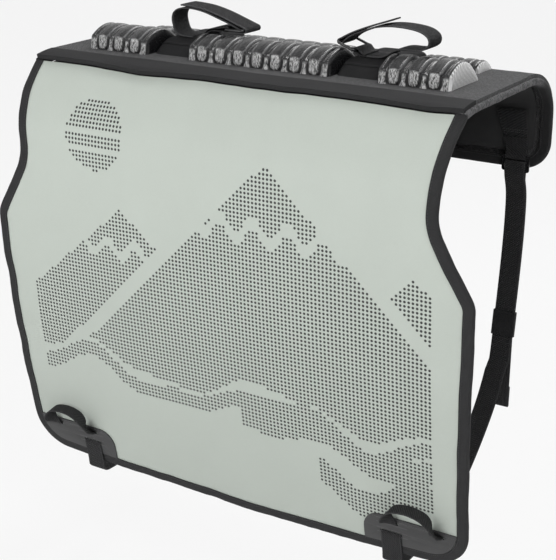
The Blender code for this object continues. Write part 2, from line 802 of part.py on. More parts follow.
def ladder_buckle():
    """A flat three-bar buckle: the anchor holds its top bar and the strap turns round the middle."""
    width = WEBBING_WIDTH + 2 * SLOT_MARGIN + 2 * BUCKLE_BAR
    height = 3 * BUCKLE_BAR + 2 * BUCKLE_SLOT
    outer = rounded_box(width, height, BUCKLE_CORNER)
    slot = rounded_box(WEBBING_WIDTH + 2 * SLOT_MARGIN, BUCKLE_SLOT, BUCKLE_SLOT / 5)
    slots = [moved(slot, 0, side * BUCKLE_PITCH / 2) for side in (-1, 1)]
    obj = plate("rear_buckle", [outer] + slots, -BUCKLE_THICKNESS / 2, BUCKLE_THICKNESS / 2)
    obj = across_y(obj)
    obj.data.transform(Matrix.Translation((REAR_STRAP_X, BUCKLE_Y, BUCKLE_Z - BUCKLE_PITCH)))
    return both_sides(obj, "rear_buckle")


def bar_wrap(bar_z, start, end):
    """The run of webbing round one of the buckle's bars."""
    across = BUCKLE_THICKNESS / 2 + CLEARANCE + WEBBING_THICKNESS
    up = BUCKLE_BAR / 2 + CLEARANCE + WEBBING_THICKNESS * 0.9
    return ellipse((BUCKLE_Y, bar_z), across, up, start, end, 8)


def rear_anchor():
    """Webbing sewn inside the rear flap and folded round the buckle's top bar."""
    depth = LINING_THICKNESS + 2 * CLEARANCE + WEBBING_THICKNESS / 2
    second = depth + WEBBING_THICKNESS + LAYER_GAP
    points = []
    for up in (ANCHOR_LENGTH, 0.66 * ANCHOR_LENGTH, 0.34 * ANCHOR_LENGTH, 0.009):
        points.append(side_point(REAR_T - BUCKLE_ABOVE_EDGE - up, -depth))
    points += bar_wrap(BUCKLE_Z, 0, -180)
    for up, extra in ((0.0050, 0.0066), (0.0090, 0.0038), (0.0140, 0.0008), (0.019, 0.0), (0.026, 0.0)):
        points.append(side_point(REAR_T - BUCKLE_ABOVE_EDGE - up, -second - extra))
    points = [tuple(p) for p in points]
    obj = across_x(strip("rear_anchor", smooth_path(points, 0.008), WEBBING_THICKNESS, 1.0))
    for v in obj.data.vertices:
        taper = min(max((v.co.z - BUCKLE_Z - 0.006) / (ANCHOR_LENGTH - 0.006), 0.0), 1.0)
        v.co.x *= WEBBING_WIDTH + (ANCHOR_TOP_WIDTH - WEBBING_WIDTH) * taper
        v.co.x -= ANCHOR_LEAN * taper
    obj.data.transform(Matrix.Translation((REAR_STRAP_X, 0, 0)))
    return both_sides(obj, "rear_anchor")


def strap_run():
    """The rear strap's main run, from the buckle's middle bar down, forward and up to its slot."""
    middle_z = BUCKLE_Z - BUCKLE_PITCH
    lower_z = middle_z - BUCKLE_PITCH
    beside = BUCKLE_THICKNESS / 2 + CLEARANCE + WEBBING_THICKNESS
    hem = side_point(HEM_T - HEM_LOOP, 0.0)
    reach = BUCKLE_Y - hem.x
    points = [
        (BUCKLE_Y - beside, lower_z),
        (BUCKLE_Y - beside / 2, lower_z - 0.008),
    ]
    hanging = [
        (-0.030, 0.27),
        (-0.033, 0.34),
        (-0.020, 0.41),
        (0.000, 0.48),
        (0.022, 0.545),
        (0.040, 0.60),
        (0.062, 0.655),
        (0.097, 0.71),
        (0.145, 0.76),
        (0.205, 0.805),
        (0.285, 0.855),
        (0.370, 0.90),
        (0.470, 0.938),
        (0.580, 0.968),
        (0.720, 0.990),
        (0.860, 1.001),
    ]
    points += [(BUCKLE_Y - reach * across, hem.y * down) for across, down in hanging]
    over_tape = FRONT_THICKNESS + 2 * CLEARANCE + TAPE_THICKNESS + WEBBING_THICKNESS / 2
    over_patch = PATCH_BASE + PATCH_THICKNESS + CLEARANCE + WEBBING_THICKNESS / 2
    lying = max(over_tape, over_patch) + CLEARANCE
    slot_t = HEM_T + LOWER_SLOT
    front = [
        (HEM_T - HEM_LOOP, 0.002),
        (HEM_T - 0.75 * HEM_LOOP, lying - 0.0015),
        (HEM_T - 0.35 * HEM_LOOP, lying + 0.0012),
        (HEM_T + 0.006, lying + 0.0002),
        (HEM_T + TAPE_FOLD + 0.003, lying),
        (slot_t - 0.0045, lying),
        (slot_t - 0.0018, lying - 0.0001),
        (slot_t - 0.0003, lying - 0.0010),
        (slot_t + 0.0002, lying - 0.0026),
    ]
    points += [tuple(side_point(t, h)) for t, h in front]
    return smooth_path(points, 0.016)


def rear_strap():
    """One webbing: folded tip, tail, round the buckle, down, under the hem and into its slot."""
    main = strap_run()
    middle_z = BUCKLE_Z - BUCKLE_PITCH
    lower_z = middle_z - BUCKLE_PITCH
    beside = BUCKLE_THICKNESS / 2 + CLEARANCE + WEBBING_THICKNESS
    layer = WEBBING_THICKNESS + LAYER_GAP
    upper = [p for p in main if -TAIL_DOWN < p.y < lower_z - 0.012]
    tail = offset_path(upper, -layer)
    fall = (tail[-1] - tail[-2]).normalized()
    fall = (fall + Vector((0.14, 0.0))).normalized()
    tip = tail[-1] + fall * TAIL_FREE
    side = Vector((-fall.y, fall.x))
    fold = [
        tip - fall * TAIL_FOLD + side * 1.6 * layer,
        tip - fall * TAIL_FOLD / 2 + side * 1.4 * layer,
        tip + side * 1.3 * layer,
        tip + fall * 0.0011 + side * 0.65 * layer,
    ]
    free = [tip, tip - fall * TAIL_FREE / 2]
    wrap = [Vector(p) for p in bar_wrap(middle_z, 0, 180)]
    buckle_side = [Vector((BUCKLE_Y + beside, lower_z)), Vector((BUCKLE_Y + beside, middle_z - 0.003))]
    path = fold + free + tail[::-1] + buckle_side + wrap + main
    obj = across_x(strip("rear_strap", path, WEBBING_THICKNESS, WEBBING_WIDTH))
    return both_sides(set_across(obj), "rear_strap")


def set_across(obj):
    """Moves a piece on the rear strap to its place across the pad, which drifts towards the hem."""
    hem = side_point(HEM_T, 0.0)
    back_y, low_z = BUCKLE_Y - 0.017, hem.y * 1.015
    for v in obj.data.vertices:
        back = min(max((v.co.y - hem.x) / (back_y - hem.x), 0.0), 1.0)
        up = min(max((v.co.z - low_z) / (hem.y * 0.61 - low_z), 0.0), 1.0)
        share = max(math.sqrt(back * up), back**8)
        v.co.x += HEM_STRAP_X + (REAR_STRAP_X - HEM_STRAP_X) * share
    return obj


def strap_keeper():
    """A band round the strap and its tail."""
    main = strap_run()
    i = min(range(1, len(main) - 1), key=lambda k: abs(main[k].y + KEEPER_DOWN))
    run = (main[i + 1] - main[i - 1]).normalized()
    side = Vector((-run.y, run.x))
    layer = WEBBING_THICKNESS + LAYER_GAP
    centre = main[i] + side * layer / 2
    inner_x = WEBBING_WIDTH + 4 * CLEARANCE
    inner_y = WEBBING_THICKNESS + layer + 4 * CLEARANCE
    wall = 2 * KEEPER_WALL
    outer = rounded_box(inner_x + wall, inner_y + wall, KEEPER_WALL)
    inner = rounded_box(inner_x, inner_y, KEEPER_WALL / 4)
    obj = plate("strap_keeper", [outer, inner], -KEEPER_LENGTH / 2, KEEPER_LENGTH / 2)
    axes = Matrix(
        (
            (1, 0, 0, 0),
            (0, side.x, run.x, centre.x),
            (0, side.y, run.y, centre.y),
            (0, 0, 0, 1),
        )
    )
    if axes.determinant() < 0:
        axes.col[0] = -axes.col[0]
    obj.data.transform(axes)
    return both_sides(set_across(obj), "strap_keeper")


def make_material(name):
    color, roughness, metallic = MATERIALS[name]
    material = bpy.data.materials.new(name)
    material.use_nodes = True
    shader = material.node_tree.nodes["Principled BSDF"]
    shader.inputs["Base Color"].default_value = color
    shader.inputs["Roughness"].default_value = roughness
    shader.inputs["Metallic"].default_value = metallic
    material.diffuse_color = color
    return material


def finish(objects, material, collection):
    """Gives the objects their own copy of the material and puts them in the pad's collection."""
    for obj in objects:
        obj.data.materials.clear()
        own = make_material(material)
        own.name = obj.name + "_" + material
        obj.data.materials.append(own)
        if material in ("black_plastic", "moulded_foam"):
            obj.data.shade_smooth()
            obj.data.set_sharp_from_angle(angle=math.radians(40))
        collection.objects.link(obj)


def main():
    for obj in list(bpy.data.objects):
        bpy.data.objects.remove(obj)
    collection = bpy.data.collections.new("tailgate_bike_pad")
    bpy.context.scene.collection.children.link(collection)
    finish([front_panel()], "sage_tarpaulin", collection)
    finish([binding("front_binding", front_edge(), FRONT_THICKNESS, -1)], "binding_tape", collection)
    finish([saddle_panel()], "saddle_fabric", collection)
    finish([binding("saddle_binding", saddle_edge(), SADDLE_THICKNESS, 1)], "binding_tape", collection)
    finish([saddle_lining()], "lining", collection)
    finish(blocks(), "moulded_foam", collection)
    finish(cradle_pads(), "saddle_fabric", collection)
    for side, loop in strap_loops().items():
        finish([hook_strap(side, loop)], "hook_and_loop", collection)
        finish([ring_tab(side, loop)], "webbing", collection)
        finish([strap_ring(side, loop)], "black_plastic", collection)
    finish(corner_patch(), "grip_patch", collection)
    finish(pull_handle(), "webbing", collection)
    finish(rear_anchor(), "webbing", collection)
    finish(ladder_buckle(), "black_plastic", collection)
    finish(rear_strap(), "webbing", collection)
    finish(strap_keeper(), "webbing", collection)


main()
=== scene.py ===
"""The looks of a tailgate bike pad: its sewn sheets, ribbed foam blocks, straps and finishes.

Metres, +Z up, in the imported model's own frame: the front panel hangs down at -Y, the saddle lies
on the tailgate, and the rear flap hangs down at +Y. Cloth is cut flat and then draped, as in the
workshop: x is across the pad, t runs from the hem up over the tailgate with t = 0 at the seam,
and h is the height over the cloth's underside.
"""

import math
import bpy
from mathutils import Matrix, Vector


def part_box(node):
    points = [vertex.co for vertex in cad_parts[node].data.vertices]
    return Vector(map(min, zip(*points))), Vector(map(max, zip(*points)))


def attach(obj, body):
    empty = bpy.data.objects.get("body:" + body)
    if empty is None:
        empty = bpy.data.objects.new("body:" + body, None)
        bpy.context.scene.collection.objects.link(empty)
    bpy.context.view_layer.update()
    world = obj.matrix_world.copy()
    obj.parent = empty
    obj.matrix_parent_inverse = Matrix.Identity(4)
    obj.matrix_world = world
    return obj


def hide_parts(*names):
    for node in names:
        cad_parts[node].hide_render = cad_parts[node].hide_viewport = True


bl_info = {
    "name": "Tailgate Bike Pad",
    "version": (1, 0, 0),
    "blender": (4, 5, 0),
    "location": "View3D > Sidebar > Bike Pad",
    "description": "Makes the cloth, foam, webbing and finishes of a tailgate bike pad",
    "category": "Add Mesh",
}

import bpy
from bpy.props import FloatProperty, FloatVectorProperty, PointerProperty
from mathutils import Matrix, Vector, noise

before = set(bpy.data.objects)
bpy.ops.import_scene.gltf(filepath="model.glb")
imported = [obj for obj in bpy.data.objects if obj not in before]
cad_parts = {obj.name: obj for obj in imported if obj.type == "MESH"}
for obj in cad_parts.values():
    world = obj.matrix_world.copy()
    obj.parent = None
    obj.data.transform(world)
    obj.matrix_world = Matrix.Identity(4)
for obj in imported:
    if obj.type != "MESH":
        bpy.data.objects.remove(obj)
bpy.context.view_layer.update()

SIDES = ("right", "left")

# The line that the cloth lies on
LINING_THICKNESS = 0.0016
CLEARANCE = 0.0003
DRAPE_Z = LINING_THICKNESS + CLEARANCE
FLAT_DEPTH = 0.160
SHOULDER_RUN = 0.045
SHOULDER_DROP = 0.004
BULGE_OUT = 0.050
BULGE_DOWN = 0.095
HEM_SETBACK = 0.054
DROP = 0.612
REAR_RUN = 0.075
REAR_ROUND = 0.055
FLAP_DROP = 0.133

# The sheets' outlines and thicknesses
FRONT_THICKNESS = 0.005
SADDLE_THICKNESS = 0.0065
TAPE_THICKNESS = 0.0012
TAPE_FOLD = 0.015
TOP_HALF = 0.331
WAIST_HALF = 0.322
WAIST_DOWN = 0.137
FLARE_HALF = 0.375
FLARE_DOWN = 0.226
HEM_HALF = 0.364
HEM_BOW = 0.014
WAIST_RADIUS = 0.060
FLARE_RADIUS = 0.032
HEM_RADIUS = 0.058
FLAP_HALF = 0.330
FLAP_RADIUS = 0.040
BAND_DEPTH = 0.031
SHEET_INSET = 0.0042
LINING_EDGE = 0.023

# Columns and rows of the sheets' grids
FRONT_GRID = (116, 126)
SADDLE_GRID = (124, 96)
LINING_GRID = (100, 84)

# Blocks and cradle pads
SLOT_WIDTH = 0.070
BLOCK_BASE = SADDLE_THICKNESS + CLEARANCE
BLOCK_MARGIN = 0.008
BLOCK_ROUND = 0.0055
BLOCK_END = 0.0075
CRADLE_LENGTH = 0.150
CRADLE_HEIGHT = 0.026
CRADLE_FRONT = -0.062
CRADLE_MARGIN = 0.008
CRADLE_ROUND = 0.004

# The cushions' cloth simulation
CUSHION_VOXEL = 0.004
CUSHION_PRESSURE = 4.0
CUSHION_FRAMES = 20
CUSHION_CAP = 0.0035

# Straps
HOOK_STRAP_WIDTH = 0.038
HOOK_STRAP_THICKNESS = 0.002
TAB_THICKNESS = 0.0015
RING_RADIUS = 0.002
WEBBING_WIDTH = 0.030
WEBBING_THICKNESS = 0.0016
LAYER_GAP = 0.0005
BUCKLE_STANDOFF = 0.010
BUCKLE_THICKNESS = 0.0022
BUCKLE_BAR = 0.0035
BUCKLE_SLOT = 0.006
BUCKLE_ABOVE_EDGE = 0.018
BUCKLE_PITCH = BUCKLE_BAR + BUCKLE_SLOT
BUCKLE_Y = FLAT_DEPTH / 2 + REAR_RUN - BUCKLE_STANDOFF
BUCKLE_Z = DRAPE_Z - FLAP_DROP + BUCKLE_ABOVE_EDGE
REAR_STRAP_X = 0.286
HEM_STRAP_X = 0.2545
ANCHOR_TOP_WIDTH = 0.044
ANCHOR_LENGTH = 0.064
ANCHOR_LEAN = 0.014
TAIL_DOWN = 0.375
TAIL_FREE = 0.110
TAIL_FOLD = 0.030
HEM_LOOP = 0.012
PATCH_THICKNESS = 0.002
PATCH_TOP = 0.067
LOWER_SLOT = 0.0420
UPPER_SLOT = 0.0585
HANDLE_OUTER_X = 0.3215
HANDLE_WIDTH = 0.020
HANDLE_THICKNESS = 0.0020
RIB_PITCH = 0.0034

# The camera and the photograph's frame
PHOTO_WIDTH = 556
CAMERA_PLACE = (0.955, -1.544, 0.3573)
CAMERA_DOWN = math.radians(20.0)
CAMERA_ROUND = math.radians(31.96)
FOCAL_PIXELS = 1341.8
SENSOR_WIDTH = 36.0
FLOOR_Z = -0.78


class PadSizes(bpy.types.PropertyGroup):
    """Sizes of the print and of the cloth's own forms."""

    dot_pitch: FloatProperty(
        name="Dot pitch", description="Distance from dot to dot", default=0.0057, unit="LENGTH"
    )
    dot_width: FloatProperty(
        name="Dot width", description="Width of a printed dot", default=0.0037, unit="LENGTH"
    )
    wave_height: FloatProperty(
        name="Wave height", description="Height of the front panel's soft waves", default=0.0038,
        unit="LENGTH",
    )
    groove_depth: FloatProperty(
        name="Groove depth", description="Depth of the blocks' main grooves", default=0.0042,
        unit="LENGTH",
    )
    pucker: FloatProperty(
        name="Pucker", description="Height of the puckers along the binding", default=0.0006,
        unit="LENGTH",
    )


class PadColors(bpy.types.PropertyGroup):
    """Colours of the materials, as linear values."""

    sage: FloatVectorProperty(
        name="Sage", description="The front panel's coated face", subtype="COLOR",
        default=(0.548, 0.595, 0.543),
    )
    print_ink: FloatVectorProperty(
        name="Print", description="The printed dots", subtype="COLOR", default=(0.018, 0.019, 0.018)
    )
    tape: FloatVectorProperty(
        name="Tape", description="The binding tape", subtype="COLOR", default=(0.024, 0.024, 0.025)
    )
    saddle: FloatVectorProperty(
        name="Saddle", description="The saddle's woven cloth", subtype="COLOR",
        default=(0.105, 0.105, 0.107),
    )
    band: FloatVectorProperty(
        name="Band", description="The smooth band along the seam", subtype="COLOR",
        default=(0.030, 0.030, 0.031),
    )
    foam: FloatVectorProperty(
        name="Foam", description="The blocks' tops", subtype="COLOR", default=(0.018, 0.018, 0.019)
    )
    melange: FloatVectorProperty(
        name="Melange", description="The light yarn on the blocks' faces", subtype="COLOR",
        default=(0.42, 0.42, 0.42),
    )
    webbing: FloatVectorProperty(
        name="Webbing", description="Straps and handles", subtype="COLOR",
        default=(0.029, 0.029, 0.030),
    )
    patch: FloatVectorProperty(
        name="Patch", description="The corner patches", subtype="COLOR",
        default=(0.062, 0.062, 0.063),
    )


def sizes():
    return bpy.context.scene.pad_sizes


def colors():
    return bpy.context.scene.pad_colors


# The drape


def drape_line():
    """The line that the pad lies on, from the hem to the rear edge, and the seam's place in it."""
    seam_y = -FLAT_DEPTH / 2 - SHOULDER_RUN
    bulge_y = seam_y - BULGE_OUT
    below = DROP - BULGE_DOWN
    line = []
    for k in range(48):
        share = 1 - k / 48
        line.append((bulge_y + HEM_SETBACK * share**2, -BULGE_DOWN - below * share))
    for k in range(16):
        share = k / 16
        z = -BULGE_DOWN + (BULGE_DOWN - SHOULDER_DROP) * share
        line.append((seam_y - BULGE_OUT * (1 - share**2), z))
    seam = len(line)
    for k in range(8):
        share = k / 8
        line.append((seam_y + SHOULDER_RUN * share, -SHOULDER_DROP * (1 - share) ** 2))
    line += [(-FLAT_DEPTH / 2, 0.0), (FLAT_DEPTH / 2, 0.0)]
    for k in range(1, 19):
        angle = math.radians(5 * k)
        y = FLAT_DEPTH / 2 + REAR_RUN * math.sin(angle)
        line.append((y, -REAR_ROUND * (1 - math.cos(angle))))
    line.append((FLAT_DEPTH / 2 + REAR_RUN, -FLAP_DROP))
    return [Vector((y, z + DRAPE_Z)) for y, z in line], seam


def stations():
    """For each point of the drape line: its t, the point, and the step that rises by one h."""
    line, seam = drape_line()
    along = [0.0]
    for start, end in zip(line, line[1:]):
        along.append(along[-1] + (end - start).length)
    found = []
    for i, point in enumerate(line):
        before = (point - line[i - 1]).normalized() if i else (line[1] - point).normalized()
        after = (line[i + 1] - point).normalized() if i + 1 < len(line) else before
        normal = Vector((-before.y, before.x))
        middle = (normal + Vector((-after.y, after.x))).normalized()
        found.append((along[i] - along[seam], point, middle / middle.dot(normal)))
    return found


STATIONS = stations()
HEM_T = STATIONS[0][0]
REAR_T = STATIONS[-1][0]
FLAT_T = next(t for t, point, _ in STATIONS if t > 0 and point.x > -FLAT_DEPTH / 2 - 1e-6)


def side_point(t, h):
    """The (y, z) of a flat-cut place once draped. Past either end the line runs on straight."""
    low, high = 0, len(STATIONS) - 2
    while low < high:
        middle = (low + high) // 2
        if t > STATIONS[middle + 1][0]:
            low = middle + 1
        else:
            high = middle
    (t0, p0, up0), (t1, p1, up1) = STATIONS[low], STATIONS[low + 1]
    share = (t - t0) / (t1 - t0)
    return (p0 + up0 * h).lerp(p1 + up1 * h, share)


def draped(x, t, h):
    """The place in space of a flat-cut point."""
    side = side_point(t, h)
    return Vector((x, side.x, side.y))


def flat_t(y):
    return FLAT_T + y + FLAT_DEPTH / 2


# Flat paths


def offset_path(path, distance):
    """The path moved to its right by the distance, mitred at each point."""
    last = len(path) - 1
    moved = []
    for i, point in enumerate(path):
        before = (point - path[i - 1]).normalized() if i else (path[1] - point).normalized()
        after = (path[i + 1] - point).normalized() if i < last else before
        right = Vector((before.y, -before.x))
        middle = (right + Vector((after.y, -after.x))).normalized()
        moved.append(point + middle * distance / middle.dot(right))
    return moved


def rounded(corners):
    """A path through (x, y, radius) corners, with an arc at each one that has a radius."""
    path = []
    for i, (x, y, radius) in enumerate(corners):
        corner = Vector((x, y))
        if radius == 0:
            path.append(corner)
            continue
        back = (Vector(corners[i - 1][:2]) - corner).normalized()
        ahead = (Vector(corners[(i + 1) % len(corners)][:2]) - corner).normalized()
        half = back.angle(ahead) / 2
        centre = corner + (back + ahead).normalized() * radius / math.sin(half)
        start = corner + back * radius / math.tan(half) - centre
        end = corner + ahead * radius / math.tan(half) - centre
        turn = end.angle_signed(start)
        count = max(4, math.ceil(abs(turn) / math.radians(6)))
        path += [centre + Matrix.Rotation(turn * k / count, 2) @ start for k in range(count + 1)]
    return path


def smooth_path(points, step):
    """A smooth curve through the points, as a polyline with a point about every step."""
    points = [Vector(point) for point in points]
    last = len(points) - 1
    runs = [(points[i + 1] - points[i]).length for i in range(last)]
    slopes = []
    for i in range(last + 1):
        first = max(i - 1, 0)
        slopes.append((points[min(i + 1, last)] - points[first]) / sum(runs[first:i + 1]))
    path = []
    for i, run in enumerate(runs):
        count = max(1, round(run / step))
        for k in range(count):
            s = k / count
            path.append(
                points[i] * (1 - 3 * s**2 + 2 * s**3)
                + points[i + 1] * (3 * s**2 - 2 * s**3)
                + slopes[i] * run * (s - 2 * s**2 + s**3)
                + slopes[i + 1] * run * (s**3 - s**2)
            )
    path.append(points[-1])
    return path


def evenly(path, step=0.003, count=None):
    """The same line in equal steps, of about the length or of the number that is asked for."""
    lengths = running_length(path)
    count = count or max(2, round(lengths[-1] / step))
    points, i = [], 0
    for k in range(count + 1):
        goal = lengths[-1] * k / count
        while i < len(path) - 2 and lengths[i + 1] < goal:
            i += 1
        share = (goal - lengths[i]) / max(lengths[i + 1] - lengths[i], 1e-9)
        points.append(path[i].lerp(path[i + 1], share))
    return points


def running_length(path):
    """How far along the path each of its points lies."""
    lengths = [0.0]
    for start, end in zip(path, path[1:]):
        lengths.append(lengths[-1] + (end - start).length)
    return lengths


def ellipse(centre, across, up, start, end, count):
    """Points round a centre from one angle to another, in degrees."""
    points = []
    for k in range(count + 1):
        angle = math.radians(start + (end - start) * k / count)
        points.append((centre[0] + across * math.cos(angle), centre[1] + up * math.sin(angle)))
    return points


def smoothstep(low, high, value):
    share = min(max((value - low) / (high - low), 0.0), 1.0)
    return share * share * (3 - 2 * share)


def seam_line(x):
    """The seam between the two sheets wanders a little along the pad."""
    fade = smoothstep(0.0, 0.05, TOP_HALF - abs(x))
    broad = noise.noise(Vector((x * 7.0, 0.4, 1.3))) * 0.0036
    fine = noise.noise(Vector((x * 24.0, 2.4, 6.3))) * 0.0011
    return (broad + fine) * fade


def flat_area(path):
    """The area inside a flat outline."""
    pairs = zip(path, path[1:] + path[:1])
    return abs(sum(a.x * b.y - b.x * a.y for a, b in pairs)) / 2


# Outlines of the two sheets


def front_edge():
    """The front panel's edge, from the seam at +x down and round the hem to the seam at -x."""
    right = [
        (TOP_HALF, 0.0, 0),
        (WAIST_HALF, -WAIST_DOWN, WAIST_RADIUS),
        (FLARE_HALF, -FLARE_DOWN, FLARE_RADIUS),
        (HEM_HALF, HEM_T + HEM_BOW, HEM_RADIUS),
        (HEM_HALF / 2, HEM_T + HEM_BOW / 4, 0.3),
    ]
    left = [(-x, t, radius) for x, t, radius in right[::-1]]
    return rounded(right + [(0.0, HEM_T, 0)] + left)


def saddle_edge():
    """The saddle's edge, from the seam at -x over the rear edge to the seam at +x."""
    corners = [
        (-TOP_HALF, 0.0, 0),
        (-FLAP_HALF, FLAT_T + FLAT_DEPTH, 0),
        (-FLAP_HALF, REAR_T, FLAP_RADIUS),
        (FLAP_HALF, REAR_T, FLAP_RADIUS),
        (FLAP_HALF, FLAT_T + FLAT_DEPTH, 0),
        (TOP_HALF, 0.0, 0),
    ]
    return rounded(corners)


# Building


def select_only(*objects):
    if bpy.context.object and bpy.context.object.mode != "OBJECT":
        bpy.ops.object.mode_set(mode="OBJECT")
    bpy.ops.object.select_all(action="DESELECT")
    for obj in objects:
        obj.select_set(True)
    bpy.context.view_layer.objects.active = objects[0] if objects else None


def lay_grid(name, columns, rows, place, cut):
    """A grid of cloth. place(column, row) puts each point, and cut(column, row) is its UV place."""
    select_only()
    bpy.ops.mesh.primitive_grid_add(
        x_subdivisions=len(columns) - 1, y_subdivisions=len(rows) - 1, size=2.0
    )
    obj = bpy.context.object
    obj.name = name
    mesh = obj.data
    mesh.name = name
    spots = []
    for v in mesh.vertices:
        i = round((v.co.x + 1) / 2 * (len(columns) - 1))
        j = round((v.co.y + 1) / 2 * (len(rows) - 1))
        spots.append((i, j))
    for v, (i, j) in zip(mesh.vertices, spots):
        v.co = place(columns[i], rows[j])
    layer = mesh.uv_layers[0]
    layer.name = "cut"
    for loop in mesh.loops:
        i, j = spots[loop.vertex_index]
        layer.data[loop.index].uv = cut(columns[i], rows[j])
    return obj


def point_values(obj, name, values):
    """Keeps a number for each point, which the materials read."""
    attribute = obj.data.attributes.new(name, "FLOAT", "POINT")
    attribute.data.foreach_set("value", values)


def add_and_apply(obj, kind, **settings):
    select_only(obj)
    bpy.ops.object.modifier_add(type=kind)
    modifier = obj.modifiers[-1]
    for key, value in settings.items():
        setattr(modifier, key, value)
    bpy.ops.object.modifier_apply(modifier=modifier.name)


def close_up(obj, merge=1e-5):
    """Merges doubled points, fills what is open and turns every face outwards."""
    select_only(obj)
    bpy.ops.object.mode_set(mode="EDIT")
    bpy.ops.mesh.select_all(action="SELECT")
    bpy.ops.mesh.remove_doubles(threshold=merge)
    bpy.ops.mesh.fill_holes(sides=0)
    bpy.ops.mesh.select_all(action="SELECT")
    bpy.ops.mesh.normals_make_consistent(inside=False)
    bpy.ops.object.mode_set(mode="OBJECT")
    return obj


def sheet_spots(edge, corner, columns, rows, gap):
    """A sheet's grid of flat places. Its sides follow the cut edge, and row 0 is its far end.

    The edge runs from the seam at +x round to the seam at -x.
    """
    edge = [point.copy() for point in edge]
    edge[0].y = edge[-1].y = gap
    near = Vector(corner)
    far_side = Vector((-corner[0], corner[1]))
    right_end = min(range(len(edge)), key=lambda i: (edge[i] - near).length)
    left_end = min(range(len(edge)), key=lambda i: (edge[i] - far_side).length)
    right = evenly(edge[:right_end + 1], count=rows)[::-1]
    left = evenly(edge[left_end:], count=rows)
    far = evenly(edge[right_end:left_end + 1], count=columns)[::-1]
    spots = {}
    for i in range(columns + 1):
        s = i / columns
        top = edge[-1].lerp(edge[0], s)
        top.y = seam_line(top.x) + gap
        for j in range(rows + 1):
            v = j / rows
            sides = left[j].lerp(right[j], s) + far[i].lerp(top, v)
            spots[i, j] = sides - far[0].lerp(far[-1], s).lerp(edge[-1].lerp(edge[0], s), v)
    return spots


def lay_sheet(name, spots, columns, rows, height):
    """Lays a sheet's grid over the drape line, at the height(x, t) over it."""

    def place(i, j):
        x, t = spots[i, j]
        return draped(x, t, height(x, t))

    return lay_grid(
        name, list(range(columns + 1)), list(range(rows + 1)), place, lambda i, j: spots[i, j]
    )


def give_wall(obj, thickness):
    """Gives a laid cloth its thickness, on the side that its faces turn away from.

    The front panel's faces point outwards, so it fills the space under its laid surface. The
    saddle's and the lining's rows run the other way and their faces point inwards, so those two
    fill the space over it, one thickness outside of their solids.
    """
    add_and_apply(obj, "SOLIDIFY", thickness=thickness, offset=-1.0, use_even_offset=True)


def smooth(obj, degrees=45):
    select_only(obj)
    bpy.ops.object.shade_smooth_by_angle(angle=math.radians(degrees))


def sweep(name, rows, ring, along):
    """A closed strap: the section ring goes along the rows, each a place, an across and an up."""
    columns = list(range(len(ring) + 1))

    def place(i, j):
        origin, across, up = rows[j]
        a, b = ring[i % len(ring)]
        return origin + across * a + up * b

    def cut(i, j):
        return ring[i % len(ring)][0], along[j]

    return close_up(lay_grid(name, columns, list(range(len(rows))), place, cut))


def strap_ring_section(width, thickness, fullness=0.0, columns=8):
    """The section of a webbing: flat faces that may swell, and round edges."""
    radius = thickness / 2
    flat = width / 2 - radius
    top = []
    for k in range(columns + 1):
        a = flat - 2 * flat * k / columns
        top.append((a, radius + fullness * (1 - (a / flat) ** 2)))
    left = [(-flat - radius * math.sin(angle), radius * math.cos(angle))
            for angle in (math.radians(45), math.radians(90), math.radians(135))]
    bottom = [(-a, -b) for a, b in top]
    right = [(-a, -b) for a, b in left]
    return top + left + bottom + right


def dressed(obj, finish, slot, *nodes):
    """Gives a piece its material and its body, and hides the nodes that it stands for. The slot is
    not used.
    """
    obj.data.materials.clear()
    obj.data.materials.append(finish)
    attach(obj, "root")
    if nodes:
        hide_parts(*nodes)


def mirrored(obj, name):
    """A copy on the other side of the pad, with its own mesh."""
    select_only(obj)
    bpy.ops.object.duplicate(linked=False)
    twin = bpy.context.object
    twin.name = name
    twin.data.name = name
    twin.scale.x = -1
    bpy.ops.object.transform_apply(location=False, rotation=False, scale=True)
    bpy.ops.object.mode_set(mode="EDIT")
    bpy.ops.mesh.select_all(action="SELECT")
    bpy.ops.mesh.normals_make_consistent(inside=False)
    bpy.ops.object.mode_set(mode="OBJECT")
    return twin


# Materials


class Signal:
    """A value in a material. Maths on it adds the Math nodes."""

    def __init__(self, finish, socket):
        self.finish = finish
        self.socket = socket

    def maths(self, operation, *others):
        return self.finish.maths(operation, self, *others)

    def __add__(self, other):
        return self.maths("ADD", other)

    def __sub__(self, other):
        return self.maths("SUBTRACT", other)

    def __mul__(self, other):
        return self.maths("MULTIPLY", other)

    def __truediv__(self, other):
        return self.maths("DIVIDE", other)

    def __rsub__(self, other):
        return self.finish.maths("SUBTRACT", other, self)

    __radd__ = __add__
    __rmul__ = __mul__

    def below(self, limit):
        return self.maths("LESS_THAN", limit)

    def above(self, limit):
        return self.maths("GREATER_THAN", limit)

    def wave(self, period):
        """A sine of that period, from -1 to 1."""
        return (self * (2 * math.pi / period)).maths("SINE")

    def size(self):
        return self.maths("ABSOLUTE")

    def ramp(self, low, high):
        """0 below low, 1 above high, and a smooth step between."""
        settings = {"interpolation_type": "SMOOTHSTEP", "clamp": True}
        inputs = {"Value": self, "From Min": low, "From Max": high}
        return self.finish.node("ShaderNodeMapRange", settings, inputs)


